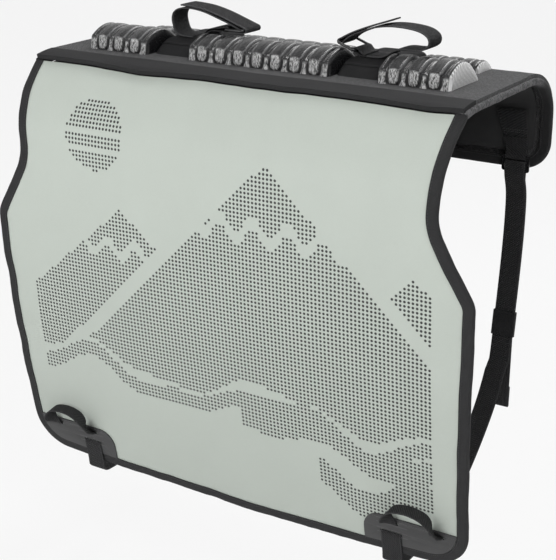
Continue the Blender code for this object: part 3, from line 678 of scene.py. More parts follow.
class Finish:
    """A Principled material that is put together from signals."""

    def __init__(self, name, roughness=0.7, specular=0.35):
        self.material = bpy.data.materials.new(name)
        self.material.use_nodes = True
        self.tree = self.material.node_tree
        self.shader = self.tree.nodes["Principled BSDF"]
        self.shader.inputs["Roughness"].default_value = roughness
        self.shader.inputs["Specular IOR Level"].default_value = specular

    def node(self, kind, settings=None, inputs=None, output=0):
        node = self.tree.nodes.new(kind)
        for key, value in (settings or {}).items():
            setattr(node, key, value)
        for key, value in (inputs or {}).items():
            self.feed(node.inputs[key], value)
        return Signal(self, node.outputs[output])

    def feed(self, socket, value):
        if isinstance(value, Signal):
            self.tree.links.new(value.socket, socket)
        else:
            socket.default_value = value

    def maths(self, operation, *values):
        return self.node(
            "ShaderNodeMath", {"operation": operation}, dict(enumerate(values))
        )

    def cut(self):
        """The flat-cut place: metres across and metres along."""
        place = self.node("ShaderNodeUVMap", {"uv_map": "cut"})
        split = self.node("ShaderNodeSeparateXYZ", None, {0: place})
        return split, Signal(self, split.socket.node.outputs[1])

    def kept(self, name):
        """A number that is kept on the mesh."""
        return self.node("ShaderNodeAttribute", {"attribute_name": name}, output="Fac")

    def place(self):
        return self.node("ShaderNodeTexCoord", output="Object")

    def spot(self):
        """The place in the scene as three numbers."""
        outputs = self.node("ShaderNodeSeparateXYZ", None, {0: self.place()}).socket.node.outputs
        return [Signal(self, outputs[k]) for k in range(3)]

    def grain(self, scale, detail=2.0, where=None, rough=0.5):
        """Noise from 0 to 1 whose grains are about the scale, in metres."""
        inputs = {
            "Vector": where or self.place(), "Scale": 1 / scale, "Detail": detail,
            "Roughness": rough,
        }
        return self.node("ShaderNodeTexNoise", None, inputs)

    def blend(self, factor, first, second):
        """Mixes two colours, each a tuple or a signal."""
        node = self.tree.nodes.new("ShaderNodeMix")
        node.data_type = "RGBA"
        self.feed(node.inputs["Factor"], factor)
        for socket, value in ((node.inputs[6], first), (node.inputs[7], second)):
            self.feed(socket, value if isinstance(value, Signal) else (*value, 1.0))
        return Signal(self, node.outputs[2])

    def shade(self, color, factor):
        """The colour, darker or lighter by the factor."""
        node = self.tree.nodes.new("ShaderNodeVectorMath")
        node.operation = "SCALE"
        self.feed(node.inputs[0], color if isinstance(color, Signal) else tuple(color))
        self.feed(node.inputs["Scale"], factor)
        return Signal(self, node.outputs[0])

    def finish(self, color=None, bump=None, height=0.0003, roughness=None):
        if color is not None:
            value = color if isinstance(color, Signal) else (*color, 1.0)
            self.feed(self.shader.inputs["Base Color"], value)
        if roughness is not None:
            self.feed(self.shader.inputs["Roughness"], roughness)
        if bump is not None:
            inputs = {"Height": bump, "Strength": 1.0, "Distance": height}
            self.feed(self.shader.inputs["Normal"], self.node("ShaderNodeBump", None, inputs))
        return self.material


def plain_weave(u, v, pitch):
    """Over and under of a plain weave, from 0 to 1."""
    warp = u.wave(2 * pitch) * v.wave(2 * pitch)
    return warp * 0.5 + 0.5


def stitches(offset, along, pitch=0.0036, width=0.0008):
    """A row of stitches where the offset is near 0: 1 on the thread and 0 between."""
    near = 1 - offset.size().ramp(width * 0.4, width * 0.75)
    dash = along.wave(pitch).ramp(-0.55, -0.2)
    return near * dash


def dotted_print(u, t):
    """Ridges, a disc and low waves, all in dots on a square grid, 1 on the ink."""
    pitch, half = sizes().dot_pitch, sizes().dot_width / 2
    cell_u = (u / pitch).maths("FLOOR") + 0.5
    cell_t = (t / pitch).maths("FLOOR") + 0.5
    centre_u, centre_t = cell_u * pitch, cell_t * pitch
    near = ((u - centre_u).maths("POWER", 2.0) + (t - centre_t).maths("POWER", 2.0)).maths("SQRT")
    dot = 1 - near.ramp(half * 0.88, half * 1.08)

    def ridge(middle, top, slope, margin=0.0):
        return (centre_t + (centre_u - middle).size() * slope).below(top + margin)

    def band(line, half_width):
        return 1 - (centre_t - line).size().below(half_width)

    floor_line = centre_u.wave(0.31) * 0.020 + centre_u.wave(0.127) * 0.006 - 0.425
    above_floor = (centre_t - floor_line).above(0.0)
    snow_line = centre_u.wave(0.052) * 0.013 - 0.185
    first = ridge(0.085, -0.092, 0.98) * band(snow_line, 0.0085)
    behind = 1 - ridge(0.085, -0.092, 0.98, 0.028)
    second = ridge(-0.150, -0.190, 0.82)
    second = second * band(centre_u.wave(0.047) * 0.010 - 0.248, 0.0075) * behind
    third = ridge(0.295, -0.205, 0.90) * behind
    ridges = first.maths("MAXIMUM", second).maths("MAXIMUM", third) * above_floor
    across = (centre_u + 0.190).maths("POWER", 2.0)
    disc = (across + (centre_t + 0.092).maths("POWER", 2.0)).below(0.048**2)
    disc = disc * (centre_t + 0.088).size().above(0.0035) * (centre_t + 0.113).size().above(0.0035)
    near_wave = 1 - band(floor_line - centre_u.wave(0.19) * 0.006 - 0.022, 0.0125)
    mid_wave = 1 - band(floor_line * 0.8 - centre_u.wave(0.23) * 0.012 - 0.127, 0.019)
    mid_wave = mid_wave * centre_u.above(0.03)
    low_wave = 1 - band(floor_line * 0.6 - centre_u.wave(0.17) * 0.012 - 0.272, 0.021)
    low_wave = low_wave * centre_u.above(0.15)
    field = ridges.maths("MAXIMUM", disc).maths("MAXIMUM", near_wave)
    field = field.maths("MAXIMUM", mid_wave).maths("MAXIMUM", low_wave)
    return dot * field * (0.318 - centre_u.size()).above(0.0)


def sage_cloth():
    finish = Finish("coated_sage_cloth", roughness=0.58, specular=0.35)
    u, t = finish.cut()
    ink = dotted_print(u, t)
    weave = plain_weave(u, t, 0.0011)
    cloud = finish.grain(0.09, 3.0)
    fine = finish.grain(0.0022, 2.0)
    shade = weave * 0.045 + cloud * 0.06 + fine * 0.05 + 0.925
    # Painted shade: the sage is made about a tenth less bright towards the hem, where less light
    # falls on it.
    low = t.ramp(-0.66, -0.05) * 0.12 + 0.90
    base = finish.shade(tuple(colors().sage), shade * low)
    color = finish.blend(ink * 0.96, base, tuple(colors().print_ink))
    bump = weave * 0.35 + fine * 0.35 + ink * 0.6
    return finish.finish(color, bump, 0.00022, ink * -0.10 + 0.60)


def backing_cloth():
    """The plain woven back of the front panel."""
    finish = Finish("backing_cloth", roughness=0.8, specular=0.25)
    u, t = finish.cut()
    weave = plain_weave(u, t, 0.0012)
    shade = weave * 0.25 + finish.grain(0.05) * 0.2 + 0.75
    return finish.finish(finish.shade((0.040, 0.041, 0.041), shade), weave, 0.0003)


def tape_cloth(name, color):
    """Binding tape: fine cross ribs, a soft sheen at the fold and a row of stitches."""
    finish = Finish(name, roughness=0.75, specular=0.3)
    offset, along = finish.cut()
    ribs = along.wave(0.0016) * 0.5 + 0.5
    fuzz = finish.grain(0.0011, 3.0)
    cloud = finish.grain(0.022, 2.0)
    thread = stitches(offset - TAPE_FOLD + 0.0022, along)
    shade = ribs * 0.12 + fuzz * 0.5 + cloud * 0.35 + 0.50
    base = finish.shade(tuple(color), shade)
    color = finish.blend(thread * 0.75, base, (0.060, 0.060, 0.061))
    bump = ribs * 0.5 + fuzz * 0.7 + thread * 1.4
    return finish.finish(color, bump, 0.0004)


def saddle_tape_cloth():
    """The saddle's tape: plain on the flap and along the whole left side, and as coarse and light
    as the saddle along the right side's top. The two sides of the one tape are coloured unlike, as
    painted light on the lit right side and painted shade on the left side.
    """
    finish = Finish("saddle_edge_tape", roughness=0.8, specular=0.25)
    offset, along = finish.cut()
    down = finish.kept("down")
    fuzz = finish.grain(0.0011, 3.0)
    weave = plain_weave(offset, along, 0.0021)
    knots = finish.grain(0.0042, 2.0, rough=0.7).ramp(0.36, 0.62)
    thread = stitches(offset - TAPE_FOLD + 0.0022, along) * down
    plain = finish.shade(tuple(colors().tape), fuzz * 0.5 + 0.6)
    coarse = finish.shade(tuple(colors().saddle), weave * 0.5 + knots * 0.75 + fuzz * 0.2 + 0.25)
    # Painted light and shade: the right side's top takes the saddle's lighter knit, the left side
    # the black plain tape.
    color = finish.blend(thread * 0.75, finish.blend(down, coarse, plain), (0.060, 0.060, 0.061))
    bump = (weave + knots) * (1 - down) * 0.9 + fuzz * 0.6 + thread * 1.2
    return finish.finish(color, bump, 0.0006)


def saddle_cloth():
    """Coarse open weave, with the smooth band that joins it to the front panel."""
    finish = Finish("saddle_cloth", roughness=0.8, specular=0.15)
    u, t = finish.cut()
    weave = plain_weave(u, t, 0.0017)
    diagonal = (u + t).wave(0.0031) * 0.5 + 0.5
    fuzz = finish.grain(0.0014, 2.0)
    cloud = finish.grain(0.06, 2.0)
    knots = finish.grain(0.0032, 2.0, rough=0.7).ramp(0.36, 0.64)
    shade = weave * 0.42 + diagonal * 0.14 + cloud * 0.25 + knots * 0.34 + 0.33
    cloth = finish.shade(tuple(colors().saddle), shade)
    band = finish.shade(tuple(colors().band), fuzz * 0.45 + cloud * 0.25 + 0.65)
    on_band = 1 - t.ramp(BAND_DEPTH - 0.0006, BAND_DEPTH + 0.0006)
    thread = stitches(t - BAND_DEPTH + 0.003, u)
    color = finish.blend(on_band, cloth, band)
    color = finish.blend(thread * 0.7, color, (0.075, 0.075, 0.077))
    step = on_band * 1.2
    bump = (weave + knots * 0.6) * (1 - on_band) * 0.9 + fuzz * 0.3 + step + thread * 0.8
    return finish.finish(color, bump, 0.0006)


def lining_cloth():
    finish = Finish("lining_cloth", roughness=0.8, specular=0.25)
    u, t = finish.cut()
    weave = plain_weave(u, t, 0.0012)
    cloud = finish.grain(0.04, 3.0)
    hem = stitches(t - (REAR_T - 0.030), u)
    side = stitches(u.size() - 0.296, t)
    thread = hem.maths("MAXIMUM", side)
    shade = weave * 0.3 + cloud * 0.5 + 0.55
    base = finish.shade((0.040, 0.040, 0.041), shade)
    color = finish.blend(thread * 0.8, base, (0.035, 0.035, 0.036))
    return finish.finish(color, weave * 0.5 + cloud + thread, 0.0004)


def ribbed_foam(name, right_end_painted_lit, left_end_painted_lit):
    """Moulded knit foam: black satin tops with painted highlight streaks, light melange faces, and
    grooves painted deeper as shade.

    The two end flags say whether the right and the left end of the block is painted lit and pale;
    an end that is not is painted in shade, nearly black.
    """
    finish = Finish(name, roughness=0.32, specular=0.5)
    u, along = finish.cut()
    groove, face, end = finish.kept("groove"), finish.kept("face"), finish.kept("end")
    glint_line = finish.kept("glint_line")
    rows = (along + u * 0.12).wave(0.0031) * 0.5 + 0.5
    knit = plain_weave(u, along, 0.0017)
    fuzz = finish.grain(0.0013, 2.0)
    stretch = finish.node("ShaderNodeCombineXYZ", None, {0: u * 3.0, 1: along * 0.9, 2: 0.0})
    speck = finish.grain(0.0050, 2.0, where=stretch, rough=0.7).ramp(0.38, 0.60)
    yarn = speck * 1.15 + knit * speck * 0.45 + fuzz * 0.25 + 0.02
    light = finish.shade(tuple(colors().melange), yarn)
    top = finish.shade(tuple(colors().foam), rows * 0.25 + fuzz * 0.5 + 0.55)
    # Painted highlight: pale streaks along the tops' ribs stand in for the lamps' gloss.
    painted_glint = glint_line * (1 - face) * (speck * 0.5 + 0.45)
    top = finish.blend(painted_glint * 0.42, top, (0.36, 0.36, 0.365))
    color = finish.blend(face, top, light)
    arcs = finish.kept("arc").wave(0.0042) * 0.5 + 0.5
    # Painted light and shade: the foam gets a pale lit copy on the outer ends and a nearly black
    # shaded copy on the slot-side ends; the arcs are its own ribs.
    end_painted_lit = finish.shade((0.74, 0.74, 0.74), arcs * 0.75 + fuzz * 0.3 + 0.38)
    end_painted_shade = finish.shade((0.010, 0.010, 0.011), fuzz * 0.5 + 0.8)
    ends = ((end.ramp(0.5, 0.9), right_end_painted_lit), ((end * -1.0).ramp(0.5, 0.9), left_end_painted_lit))
    for side, lit in ends:
        color = finish.blend(side, color, end_painted_lit if lit else end_painted_shade)
    # Painted shade: the grooves are made nearly black by their depth, most on the pale faces.
    painted_groove_shade = groove.ramp(0.22, 0.75) * (face * 0.30 + 0.66)
    color = finish.blend(painted_groove_shade, color, (0.008, 0.008, 0.009))
    rough = face * 0.42 + fuzz * 0.12 + 0.20
    bump = knit * (face * 0.9 + 0.12) + rows * 0.3 + fuzz * 0.4 + speck * face * 0.8
    return finish.finish(color, bump, 0.0004, rough)


def cradle_cloth():
    """The cradle pads' cloth. It reads places in the scene, because the cloth is remeshed."""
    finish = Finish("cradle_cloth", roughness=0.8, specular=0.12)
    x, y, z = finish.spot()
    weave = plain_weave(x, y + z, 0.0014)
    fuzz = finish.grain(0.0012, 3.0)
    cloud = finish.grain(0.03, 2.0)
    seam = stitches(y + 0.0335, x)
    # Painted shade: a nearly black line along the pressed crease beside the seam, with a dip in the
    # bump.
    fold = 1 - (y + 0.0375).size().ramp(0.0004, 0.0012)
    shade = weave * 0.25 + fuzz * 0.35 + cloud * 0.4 + 0.45
    base = finish.shade((0.023, 0.023, 0.024), shade)
    color = finish.blend(seam * 0.8, base, (0.050, 0.050, 0.051))
    color = finish.blend(fold * 0.8, color, (0.004, 0.004, 0.004))
    return finish.finish(color, weave * 0.6 + fuzz * 0.6 + seam - fold * 1.5, 0.0005)


def webbing_cloth(name, color, width, tacks=()):
    """Woven webbing: diagonal ribs between two plain selvedges, with rows of sewing across."""
    finish = Finish(name, roughness=0.78, specular=0.2)
    across, along = finish.cut()
    ribs = (along + across * 0.75).wave(RIB_PITCH) * 0.5 + 0.5
    cords = across.wave(width / 9) * 0.5 + 0.5
    selvedge = across.size().ramp(width * 0.42, width * 0.44)
    fuzz = finish.grain(0.0010, 3.0)
    cloud = finish.grain(0.03, 2.0)
    height = ribs * (1 - selvedge) + cords * 0.35 + fuzz * 0.4
    shade = ribs * 0.60 + cords * 0.15 + fuzz * 0.4 + cloud * 0.25 + 0.28 + selvedge * 0.30
    value = finish.shade(tuple(color), shade)
    for place in tacks:
        thread = stitches(along - place, across, 0.0026, 0.0010)
        value = finish.blend(thread * 0.8, value, (0.075, 0.075, 0.077))
        height = height + thread
    return finish.finish(value, height, 0.0006)


def hook_cloth():
    """Hook-and-loop strap: fuzzy loops between smooth selvedges."""
    finish = Finish("hook_and_loop", roughness=0.85, specular=0.2)
    across, along = finish.cut()
    fuzz = finish.grain(0.0016, 4.0, rough=0.7).ramp(0.3, 0.7)
    loops = finish.grain(0.0030, 2.0).ramp(0.35, 0.65)
    selvedge = across.size().ramp(HOOK_STRAP_WIDTH * 0.41, HOOK_STRAP_WIDTH * 0.43)
    ribs = along.wave(0.0024) * 0.5 + 0.5
    twill = (along + across).wave(0.0031) * 0.5 + 0.5
    pile = (fuzz * 0.9 + loops * 0.6 + twill * 0.9) * (1 - selvedge)
    shade = pile + selvedge * (ribs * 1.2 + 1.5) + 0.10
    bump = (fuzz + loops * 0.6 + twill * 0.4) * (1 - selvedge) + ribs * selvedge * 0.4
    return finish.finish(finish.shade((0.030, 0.030, 0.031), shade), bump, 0.0009)


def keeper_cloth():
    """The keeper's webbing, whose ribs run across."""
    finish = Finish("keeper_webbing", roughness=0.75, specular=0.2)
    x, _, z = finish.spot()
    ribs = (z + x * 0.5).wave(0.0020) * 0.5 + 0.5
    fuzz = finish.grain(0.0010, 3.0)
    shade = ribs * 0.5 + fuzz * 0.5 + 0.5
    return finish.finish(finish.shade((0.020, 0.020, 0.021), shade), ribs + fuzz * 0.5, 0.0005)


def patch_rubber():
    """Grippy patch cloth with a fine row of stitches under its top edge, and a painted highlight
    along the edges of its slots.
    """
    finish = Finish("grip_patch", roughness=0.55, specular=0.25)
    x, _, z = finish.spot()
    fuzz = finish.grain(0.0016, 3.0)
    cloud = finish.grain(0.05, 2.0)
    top = draped(0, HEM_T + PATCH_TOP - 0.0045, FRONT_THICKNESS + 0.002).z
    thread = stitches(z - top, x)
    shade = fuzz * 0.25 + cloud * 0.2 + 0.78
    base = finish.shade(tuple(colors().patch), shade)
    for slot_t in (LOWER_SLOT, UPPER_SLOT):
        spot = draped(0, HEM_T + slot_t, FRONT_THICKNESS + 0.002).z
        # Painted highlight: a light line above and below each slot stands in for a raised lip
        # catching the light.
        slot_rim_highlight = 1 - ((z - spot).size() - 0.0036).size().ramp(0.0004, 0.0011)
        beside = (x.size() - 0.233).above(0.0) * (0.279 - x.size()).above(0.0)
        base = finish.blend(slot_rim_highlight * beside * 0.45, base, (0.13, 0.13, 0.132))
    color = finish.blend(thread * 0.6, base, (0.13, 0.13, 0.13))
    return finish.finish(color, fuzz * 0.5 + thread * 2, 0.0003, cloud * 0.2 + 0.45)


def moulded_plastic():
    finish = Finish("moulded_plastic", roughness=0.22, specular=0.6)
    fuzz = finish.grain(0.0009, 3.0)
    return finish.finish(
        finish.shade((0.010, 0.010, 0.011), fuzz * 0.3 + 0.85), fuzz, 0.00006, fuzz * 0.15 + 0.16
    )


def stage_finish(name, color, share):
    """Pale paper that takes shadows, and is near white seen straight or in a gloss."""
    finish = Finish(name, roughness=0.9, specular=0.1)
    finish.shader.inputs["Base Color"].default_value = (*color, 1.0)
    glow = finish.tree.nodes.new("ShaderNodeEmission")
    glow.inputs["Color"].default_value = (*color, 1.0)
    path = finish.tree.nodes.new("ShaderNodeLightPath")
    rays = ("Is Camera Ray", "Is Glossy Ray")
    camera, gloss = (Signal(finish, path.outputs[key]) for key in rays)
    mix = finish.tree.nodes.new("ShaderNodeMixShader")
    finish.feed(mix.inputs["Fac"], camera.maths("MAXIMUM", gloss) * share)
    finish.tree.links.new(finish.shader.outputs[0], mix.inputs[1])
    finish.tree.links.new(glow.outputs[0], mix.inputs[2])
    finish.tree.links.new(mix.outputs[0], finish.tree.nodes["Material Output"].inputs["Surface"])
    return finish.material


# Sheets


def front_wave(x, t):
    """How far the hanging panel and its tape stand off their plain line."""
    down = min(max(t / HEM_T, 0.0), 1.0)
    folds = noise.noise(Vector((x * 5.5, t * 1.4, 3.1))) * (0.35 + 0.75 * down)
    broad = noise.noise(Vector((x * 2.5, t * 4.0, 9.7))) * 0.7
    near_hem = 1 - smoothstep(0.0, 0.12, t - HEM_T)
    creases = noise.noise(Vector((x * 30.0, t * 7.0, 5.5))) * near_hem * 0.55
    near_side = smoothstep(0.26, 0.37, abs(x))
    nips = noise.noise(Vector((x * 7.0, t * 28.0, 1.5))) * near_side * 0.6
    puckers = noise.noise(Vector((x * 34.0, t * 6.0, 4.5))) * (1 - smoothstep(0.0, 0.09, -t)) * 0.35
    fade = smoothstep(0.0, 0.02, -t)
    on_patch = smoothstep(0.165, 0.205, abs(x)) * (1 - smoothstep(HEM_T + 0.085, HEM_T + 0.115, t))
    return sizes().wave_height * (folds + broad + creases + nips + puckers) * fade * (1 - on_patch)


def make_front_panel():
    edge = offset_path(front_edge(), SHEET_INSET)
    corner = (HEM_HALF - SHEET_INSET, HEM_T + HEM_BOW + SHEET_INSET)
    spots = sheet_spots(edge, corner, *FRONT_GRID, -CLEARANCE / 2)

    def height(x, t):
        return FRONT_THICKNESS + front_wave(x, t)

    obj = lay_sheet("front_cloth", spots, *FRONT_GRID, height)
    give_wall(obj, FRONT_THICKNESS)
    dressed(obj, sage_cloth(), "front_panel", "front_panel")
    obj.data.materials.append(backing_cloth())
    for polygon in obj.data.polygons:
        if polygon.normal.y > 0.25:
            polygon.material_index = 1
    smooth(obj)
    -HEM_T
    flat_area(edge)


def make_saddle():
    edge = offset_path(saddle_edge(), SHEET_INSET)[::-1]
    corner = (FLAP_HALF - SHEET_INSET, REAR_T - SHEET_INSET)
    spots = sheet_spots(edge, corner, *SADDLE_GRID, CLEARANCE / 2)

    def height(x, t):
        puff = noise.noise(Vector((x * 9.0, t * 12.0, 2.2))) * 0.0009
        ripple = noise.noise(Vector((x * 26.0, t * 8.0, 7.2))) * 0.0005
        band = 0.0008 * (1 - smoothstep(BAND_DEPTH - 0.002, BAND_DEPTH + 0.002, t))
        under_blocks = smoothstep(BAND_DEPTH, BAND_DEPTH + 0.004, t)
        under_blocks *= 1 - smoothstep(0.285, 0.30, abs(x))
        rise = (puff + ripple) * smoothstep(0.0, 0.012, t) * (1 - under_blocks) + band
        return SADDLE_THICKNESS + min(rise, 0.0012)

    obj = lay_sheet("saddle_cloth", spots, *SADDLE_GRID, height)
    give_wall(obj, SADDLE_THICKNESS)
    dressed(obj, saddle_cloth(), "saddle_panel", "saddle_panel")
    smooth(obj)
    flat_area(edge)


def make_lining():
    edge = offset_path(saddle_edge(), LINING_EDGE)[::-1]
    corner = (FLAP_HALF - LINING_EDGE, REAR_T - LINING_EDGE)
    spots = sheet_spots(edge, corner, *LINING_GRID, CLEARANCE / 2)
    obj = lay_sheet("lining_cloth", spots, *LINING_GRID, lambda x, t: -CLEARANCE)
    give_wall(obj, LINING_THICKNESS)
    dressed(obj, lining_cloth(), "saddle_lining", "saddle_lining")
    smooth(obj)
    flat = (2 * (TOP_HALF - LINING_EDGE), REAR_T - LINING_EDGE)
    min(flat_area(edge), flat[0] * flat[1])


def tape_ring(thickness):
    """The folded tape's closed section, as (inset, height) points, round at its fold."""
    middle, turn, points = thickness / 2, 0.0036, []
    for gap, near, order in ((CLEARANCE + TAPE_THICKNESS, 0.0, 1), (CLEARANCE, TAPE_THICKNESS, -1)):
        reach = middle + gap
        side = [(TAPE_FOLD + (turn - TAPE_FOLD) * k / 7, middle + reach) for k in range(7)]
        arc = []
        for degrees in range(0, 181, 20):
            angle = math.radians(degrees)
            arc.append((turn - (turn - near) * math.sin(angle), middle + reach * math.cos(angle)))
        back = [(inset, thickness - height) for inset, height in side[::-1]]
        points += (side + arc + back)[::order]
    return points


def make_binding(name, edge, thickness, outward, finish, slot, wave):
    """Tape folded over a sheet's edge, a little puckered by its stitches."""
    path = evenly(edge, 0.0045)
    ring = tape_ring(thickness)
    lengths = running_length(path)
    offsets = [offset_path(path, inset) for inset, _ in ring]
    pucker = sizes().pucker

    def place(i, j):
        i %= len(ring)
        point, (inset, height) = offsets[i][j], ring[i]
        seam = outward * CLEARANCE / 2
        t = max(point.y, seam) if outward > 0 else min(point.y, seam)
        swell = noise.noise(Vector((lengths[j] * 62.0, inset * 60.0, 4.0 + outward)))
        slow = noise.noise(Vector((lengths[j] * 14.0, 0.0, 8.0 + outward)))
        dent = -0.0002 * math.exp(-(((inset - TAPE_FOLD + 0.0024) / 0.0012) ** 2))
        rise = (swell * (1.5 - inset / TAPE_FOLD) + slow) * pucker + dent
        rise = max(rise, -0.0002) * smoothstep(0.0, 0.012, abs(t))
        rise = rise if height > thickness / 2 else -rise
        return draped(point.x, t, height + rise + wave(point.x, t))

    obj = lay_grid(name, list(range(len(ring) + 1)), list(range(len(path))), place,
                   lambda i, j: (ring[i % len(ring)][0], lengths[j]))
    wide = len(ring) + 1
    # down is 0 along the right side's top and 1 on the flap and the whole left side; the saddle
    # tape reads it to paint the right side lit and the left side in shade.
    down = []
    for v in obj.data.vertices:
        point = path[v.index // wide]
        down.append(smoothstep(FLAT_T + FLAT_DEPTH + 0.02, FLAT_T + FLAT_DEPTH + 0.05, point.y)
                    if point.x > 0 else 1.0)
    point_values(obj, "down", down)
    close_up(obj)
    dressed(obj, finish, slot, slot)
    smooth(obj, 60)


# Foam


BLOCK_SIDE = [
    (0.0, 0.0), (0.008, 0.16), (0.018, 0.34), (0.030, 0.52), (0.040, 0.62), (0.056, 0.685),
    (0.085, 0.735), (0.14, 0.82), (0.25, 0.94), (0.38, 1.0), (0.53, 0.95), (0.66, 0.81),
    (0.79, 0.57), (0.91, 0.26), (1.0, 0.0),
]
REAR_BLOCK_SIDE = [
    (0.0, 0.0), (0.03, 0.38), (0.10, 0.72), (0.24, 0.94), (0.42, 1.0), (0.62, 0.92),
    (0.80, 0.68), (0.94, 0.32), (1.0, 0.0),
]
CRADLE_SIDE = [
    (0.0, 0.0), (0.04, 0.22), (0.10, 0.50), (0.17, 0.79), (0.23, 0.94), (0.29, 1.0),
    (0.60, 1.0), (0.86, 0.98), (0.94, 0.84), (0.985, 0.46), (1.0, 0.0),
]


def side_profile(shares, length, height, step):
    """The side view as points and the directions in which it is carved."""
    path = smooth_path([(a * length, b * height) for a, b in shares], step)
    lines = []
    for i, point in enumerate(path):
        run = (path[min(i + 1, len(path) - 1)] - path[max(i - 1, 0)]).normalized()
        lines.append((point, Vector((run.y, -run.x))))
    return lines, running_length(path)


def rib_carving(x, along, total, spec):
    """A block's carving at a place: its depth, how much groove it has, which the material paints as
    shade, where its painted highlight line runs, and how much pale face it has.
    """
    pitch, count, scale = spec["pitch"], spec["ribs"], spec["scale"]
    start = -pitch * count / 2
    rib = min(max(math.floor((x - start) / pitch), 0), count - 1)
    from_middle = x - (start + pitch * (rib + 0.5))
    u_centre = spec["u_centre"]
    distance = abs(from_middle)
    if along < u_centre:
        distance = math.hypot(from_middle, (u_centre - along) * 0.9)
    on_top = smoothstep(spec["face_end"] - 0.006, spec["face_end"] + 0.006, along)
    channel = pitch * (0.325 + 0.095 * on_top)
    groove = math.exp(-(((distance - channel) / (0.0025 * scale)) ** 2))
    crown = min(1.0, (distance / channel) ** 2) * 0.22
    between = smoothstep(channel, channel + 0.0026, distance)
    between *= smoothstep(u_centre - 0.006, u_centre + 0.004, along)
    line = math.exp(-(((abs(from_middle) - pitch * 0.13) / (0.0010 * scale)) ** 2)) * on_top
    ends = smoothstep(0.0, 0.0035, along) * smoothstep(0.0, 0.012, total - along)
    ends *= smoothstep(-0.001, 0.004, abs(start) + 0.003 - abs(x))
    depth = (groove + crown + between * 0.10 + line * 0.05) * ends
    # The line where the foam material paints a highlight streak, 3.4 mm inside the channel.
    glint_line = math.exp(-(((distance - channel + 0.0034) / 0.0010) ** 2))
    tip = spec["face_end"] - 0.0045 * min((distance / channel) ** 2, 1.2)
    face = 1 - smoothstep(tip - 0.0022, tip + 0.0012, along)
    face *= 0.42 + 0.58 * smoothstep(0.0035, 0.0085, along)
    return depth, min(groove * 1.15, 1.0) * ends, min(glint_line, 1.0) * ends, face


def make_block(name, node, finish, spec):
    """A ribbed foam block: columns across the pad, each with the side view, and rounded ends."""
    low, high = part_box(node)
    half = (high.x - low.x) / 2
    middle = (high.x + low.x) / 2
    lines, lengths = side_profile(spec["side"], spec["length"], spec["height"], spec["step"])
    ends = [(0.0, 0.0), (0.0, 0.3), (0.0, 0.6), (0.0, 0.85), (0.0, 1.0)]
    ends += [(d, 1.0) for d in (0.0006, 0.0014, 0.0024, 0.0036, 0.0050, 0.0065)]
    inner = 2 * half - 2 * BLOCK_END
    count = round(inner / spec["step_x"])
    columns = [(-half + d, s) for d, s in ends]
    columns += [(-half + BLOCK_END + inner * k / count, 1.0) for k in range(count + 1)]
    columns += [(half - d, s) for d, s in ends[::-1]]
    depth_of = sizes().groove_depth * spec["scale"]

    def place(column, j):
        x, share = column
        (y, z), inward = lines[j]
        inside = min(half - abs(x), BLOCK_MARGIN) / BLOCK_MARGIN
        depth = BLOCK_ROUND * (1 - math.sqrt(1 - (1 - inside) ** 2))
        if share == 1.0:
            depth += rib_carving(x, lengths[j], lengths[-1], spec)[0] * depth_of
        bulge = math.copysign(0.0012 * math.sin(math.pi * share), x) if share < 1.0 else 0.0
        wobble = noise.noise(Vector((x * 30, y * 30, spec["seed"]))) * 0.0005 * min(z / 0.01, 1.0)
        rise = max(max(z + inward.y * depth, 0.0) * share + wobble, 0.0)
        t = flat_t(spec["front"]) + y + inward.x * depth
        return draped(middle + x + bulge, t, BLOCK_BASE + rise)

    obj = lay_grid(
        name, columns, list(range(len(lines))), place, lambda column, j: (column[0], lengths[j])
    )
    kept = {"groove": [], "glint_line": [], "face": [], "end": [], "arc": []}
    wide = len(columns)
    for v in obj.data.vertices:
        (x, share), j = columns[v.index % wide], v.index // wide
        _, groove, glint_line, face = rib_carving(x, lengths[j], lengths[-1], spec)
        capped = 1.0 if half - abs(x) < 0.0018 else 0.0
        kept["groove"].append(groove * (1 - capped))
        kept["glint_line"].append(glint_line * (1 - capped))
        kept["face"].append(face * (1 - capped))
        # end is +1 and -1 on the two capped end faces, which the foam material paints lit at the
        # outer ends and in shade at the slot-side ends.
        kept["end"].append(math.copysign(capped, x))
        point = lines[j][0]
        kept["arc"].append(math.hypot(point.x - spec["length"] * 1.1, point.y * share + 0.01))
    for key, values in kept.items():
        point_values(obj, key, values)
    close_up(obj, 2e-6)
    dressed(obj, finish, "ribbed_block", node)
    smooth(obj, 62)


def puff(obj, held):
    """Blows a sewn form up as cloth. Held points stay, and none moves further than the cap."""
    select_only(obj)
    obj.data.remesh_voxel_size = CUSHION_VOXEL
    bpy.ops.object.voxel_remesh()
    starts = [v.co.copy() for v in obj.data.vertices]
    group = obj.vertex_groups.new(name="sewn")
    group.add([v.index for v in obj.data.vertices if held(v.co)], 1.0, "REPLACE")
    bpy.ops.object.modifier_add(type="CLOTH")
    modifier = obj.modifiers[-1]
    modifier.settings.use_pressure = True
    modifier.settings.uniform_pressure_force = CUSHION_PRESSURE
    modifier.settings.effector_weights.gravity = 0
    modifier.settings.vertex_group_mass = "sewn"
    modifier.point_cache.frame_end = CUSHION_FRAMES
    for step in range(1, CUSHION_FRAMES + 1):
        bpy.context.scene.frame_set(step)
    bpy.ops.object.modifier_apply(modifier=modifier.name)
    for v, start in zip(obj.data.vertices, starts):
        moved = v.co - start
        if moved.length > CUSHION_CAP:
            v.co = start + moved * (CUSHION_CAP / moved.length)
    bpy.context.scene.frame_set(1)
    obj.vertex_groups.clear()


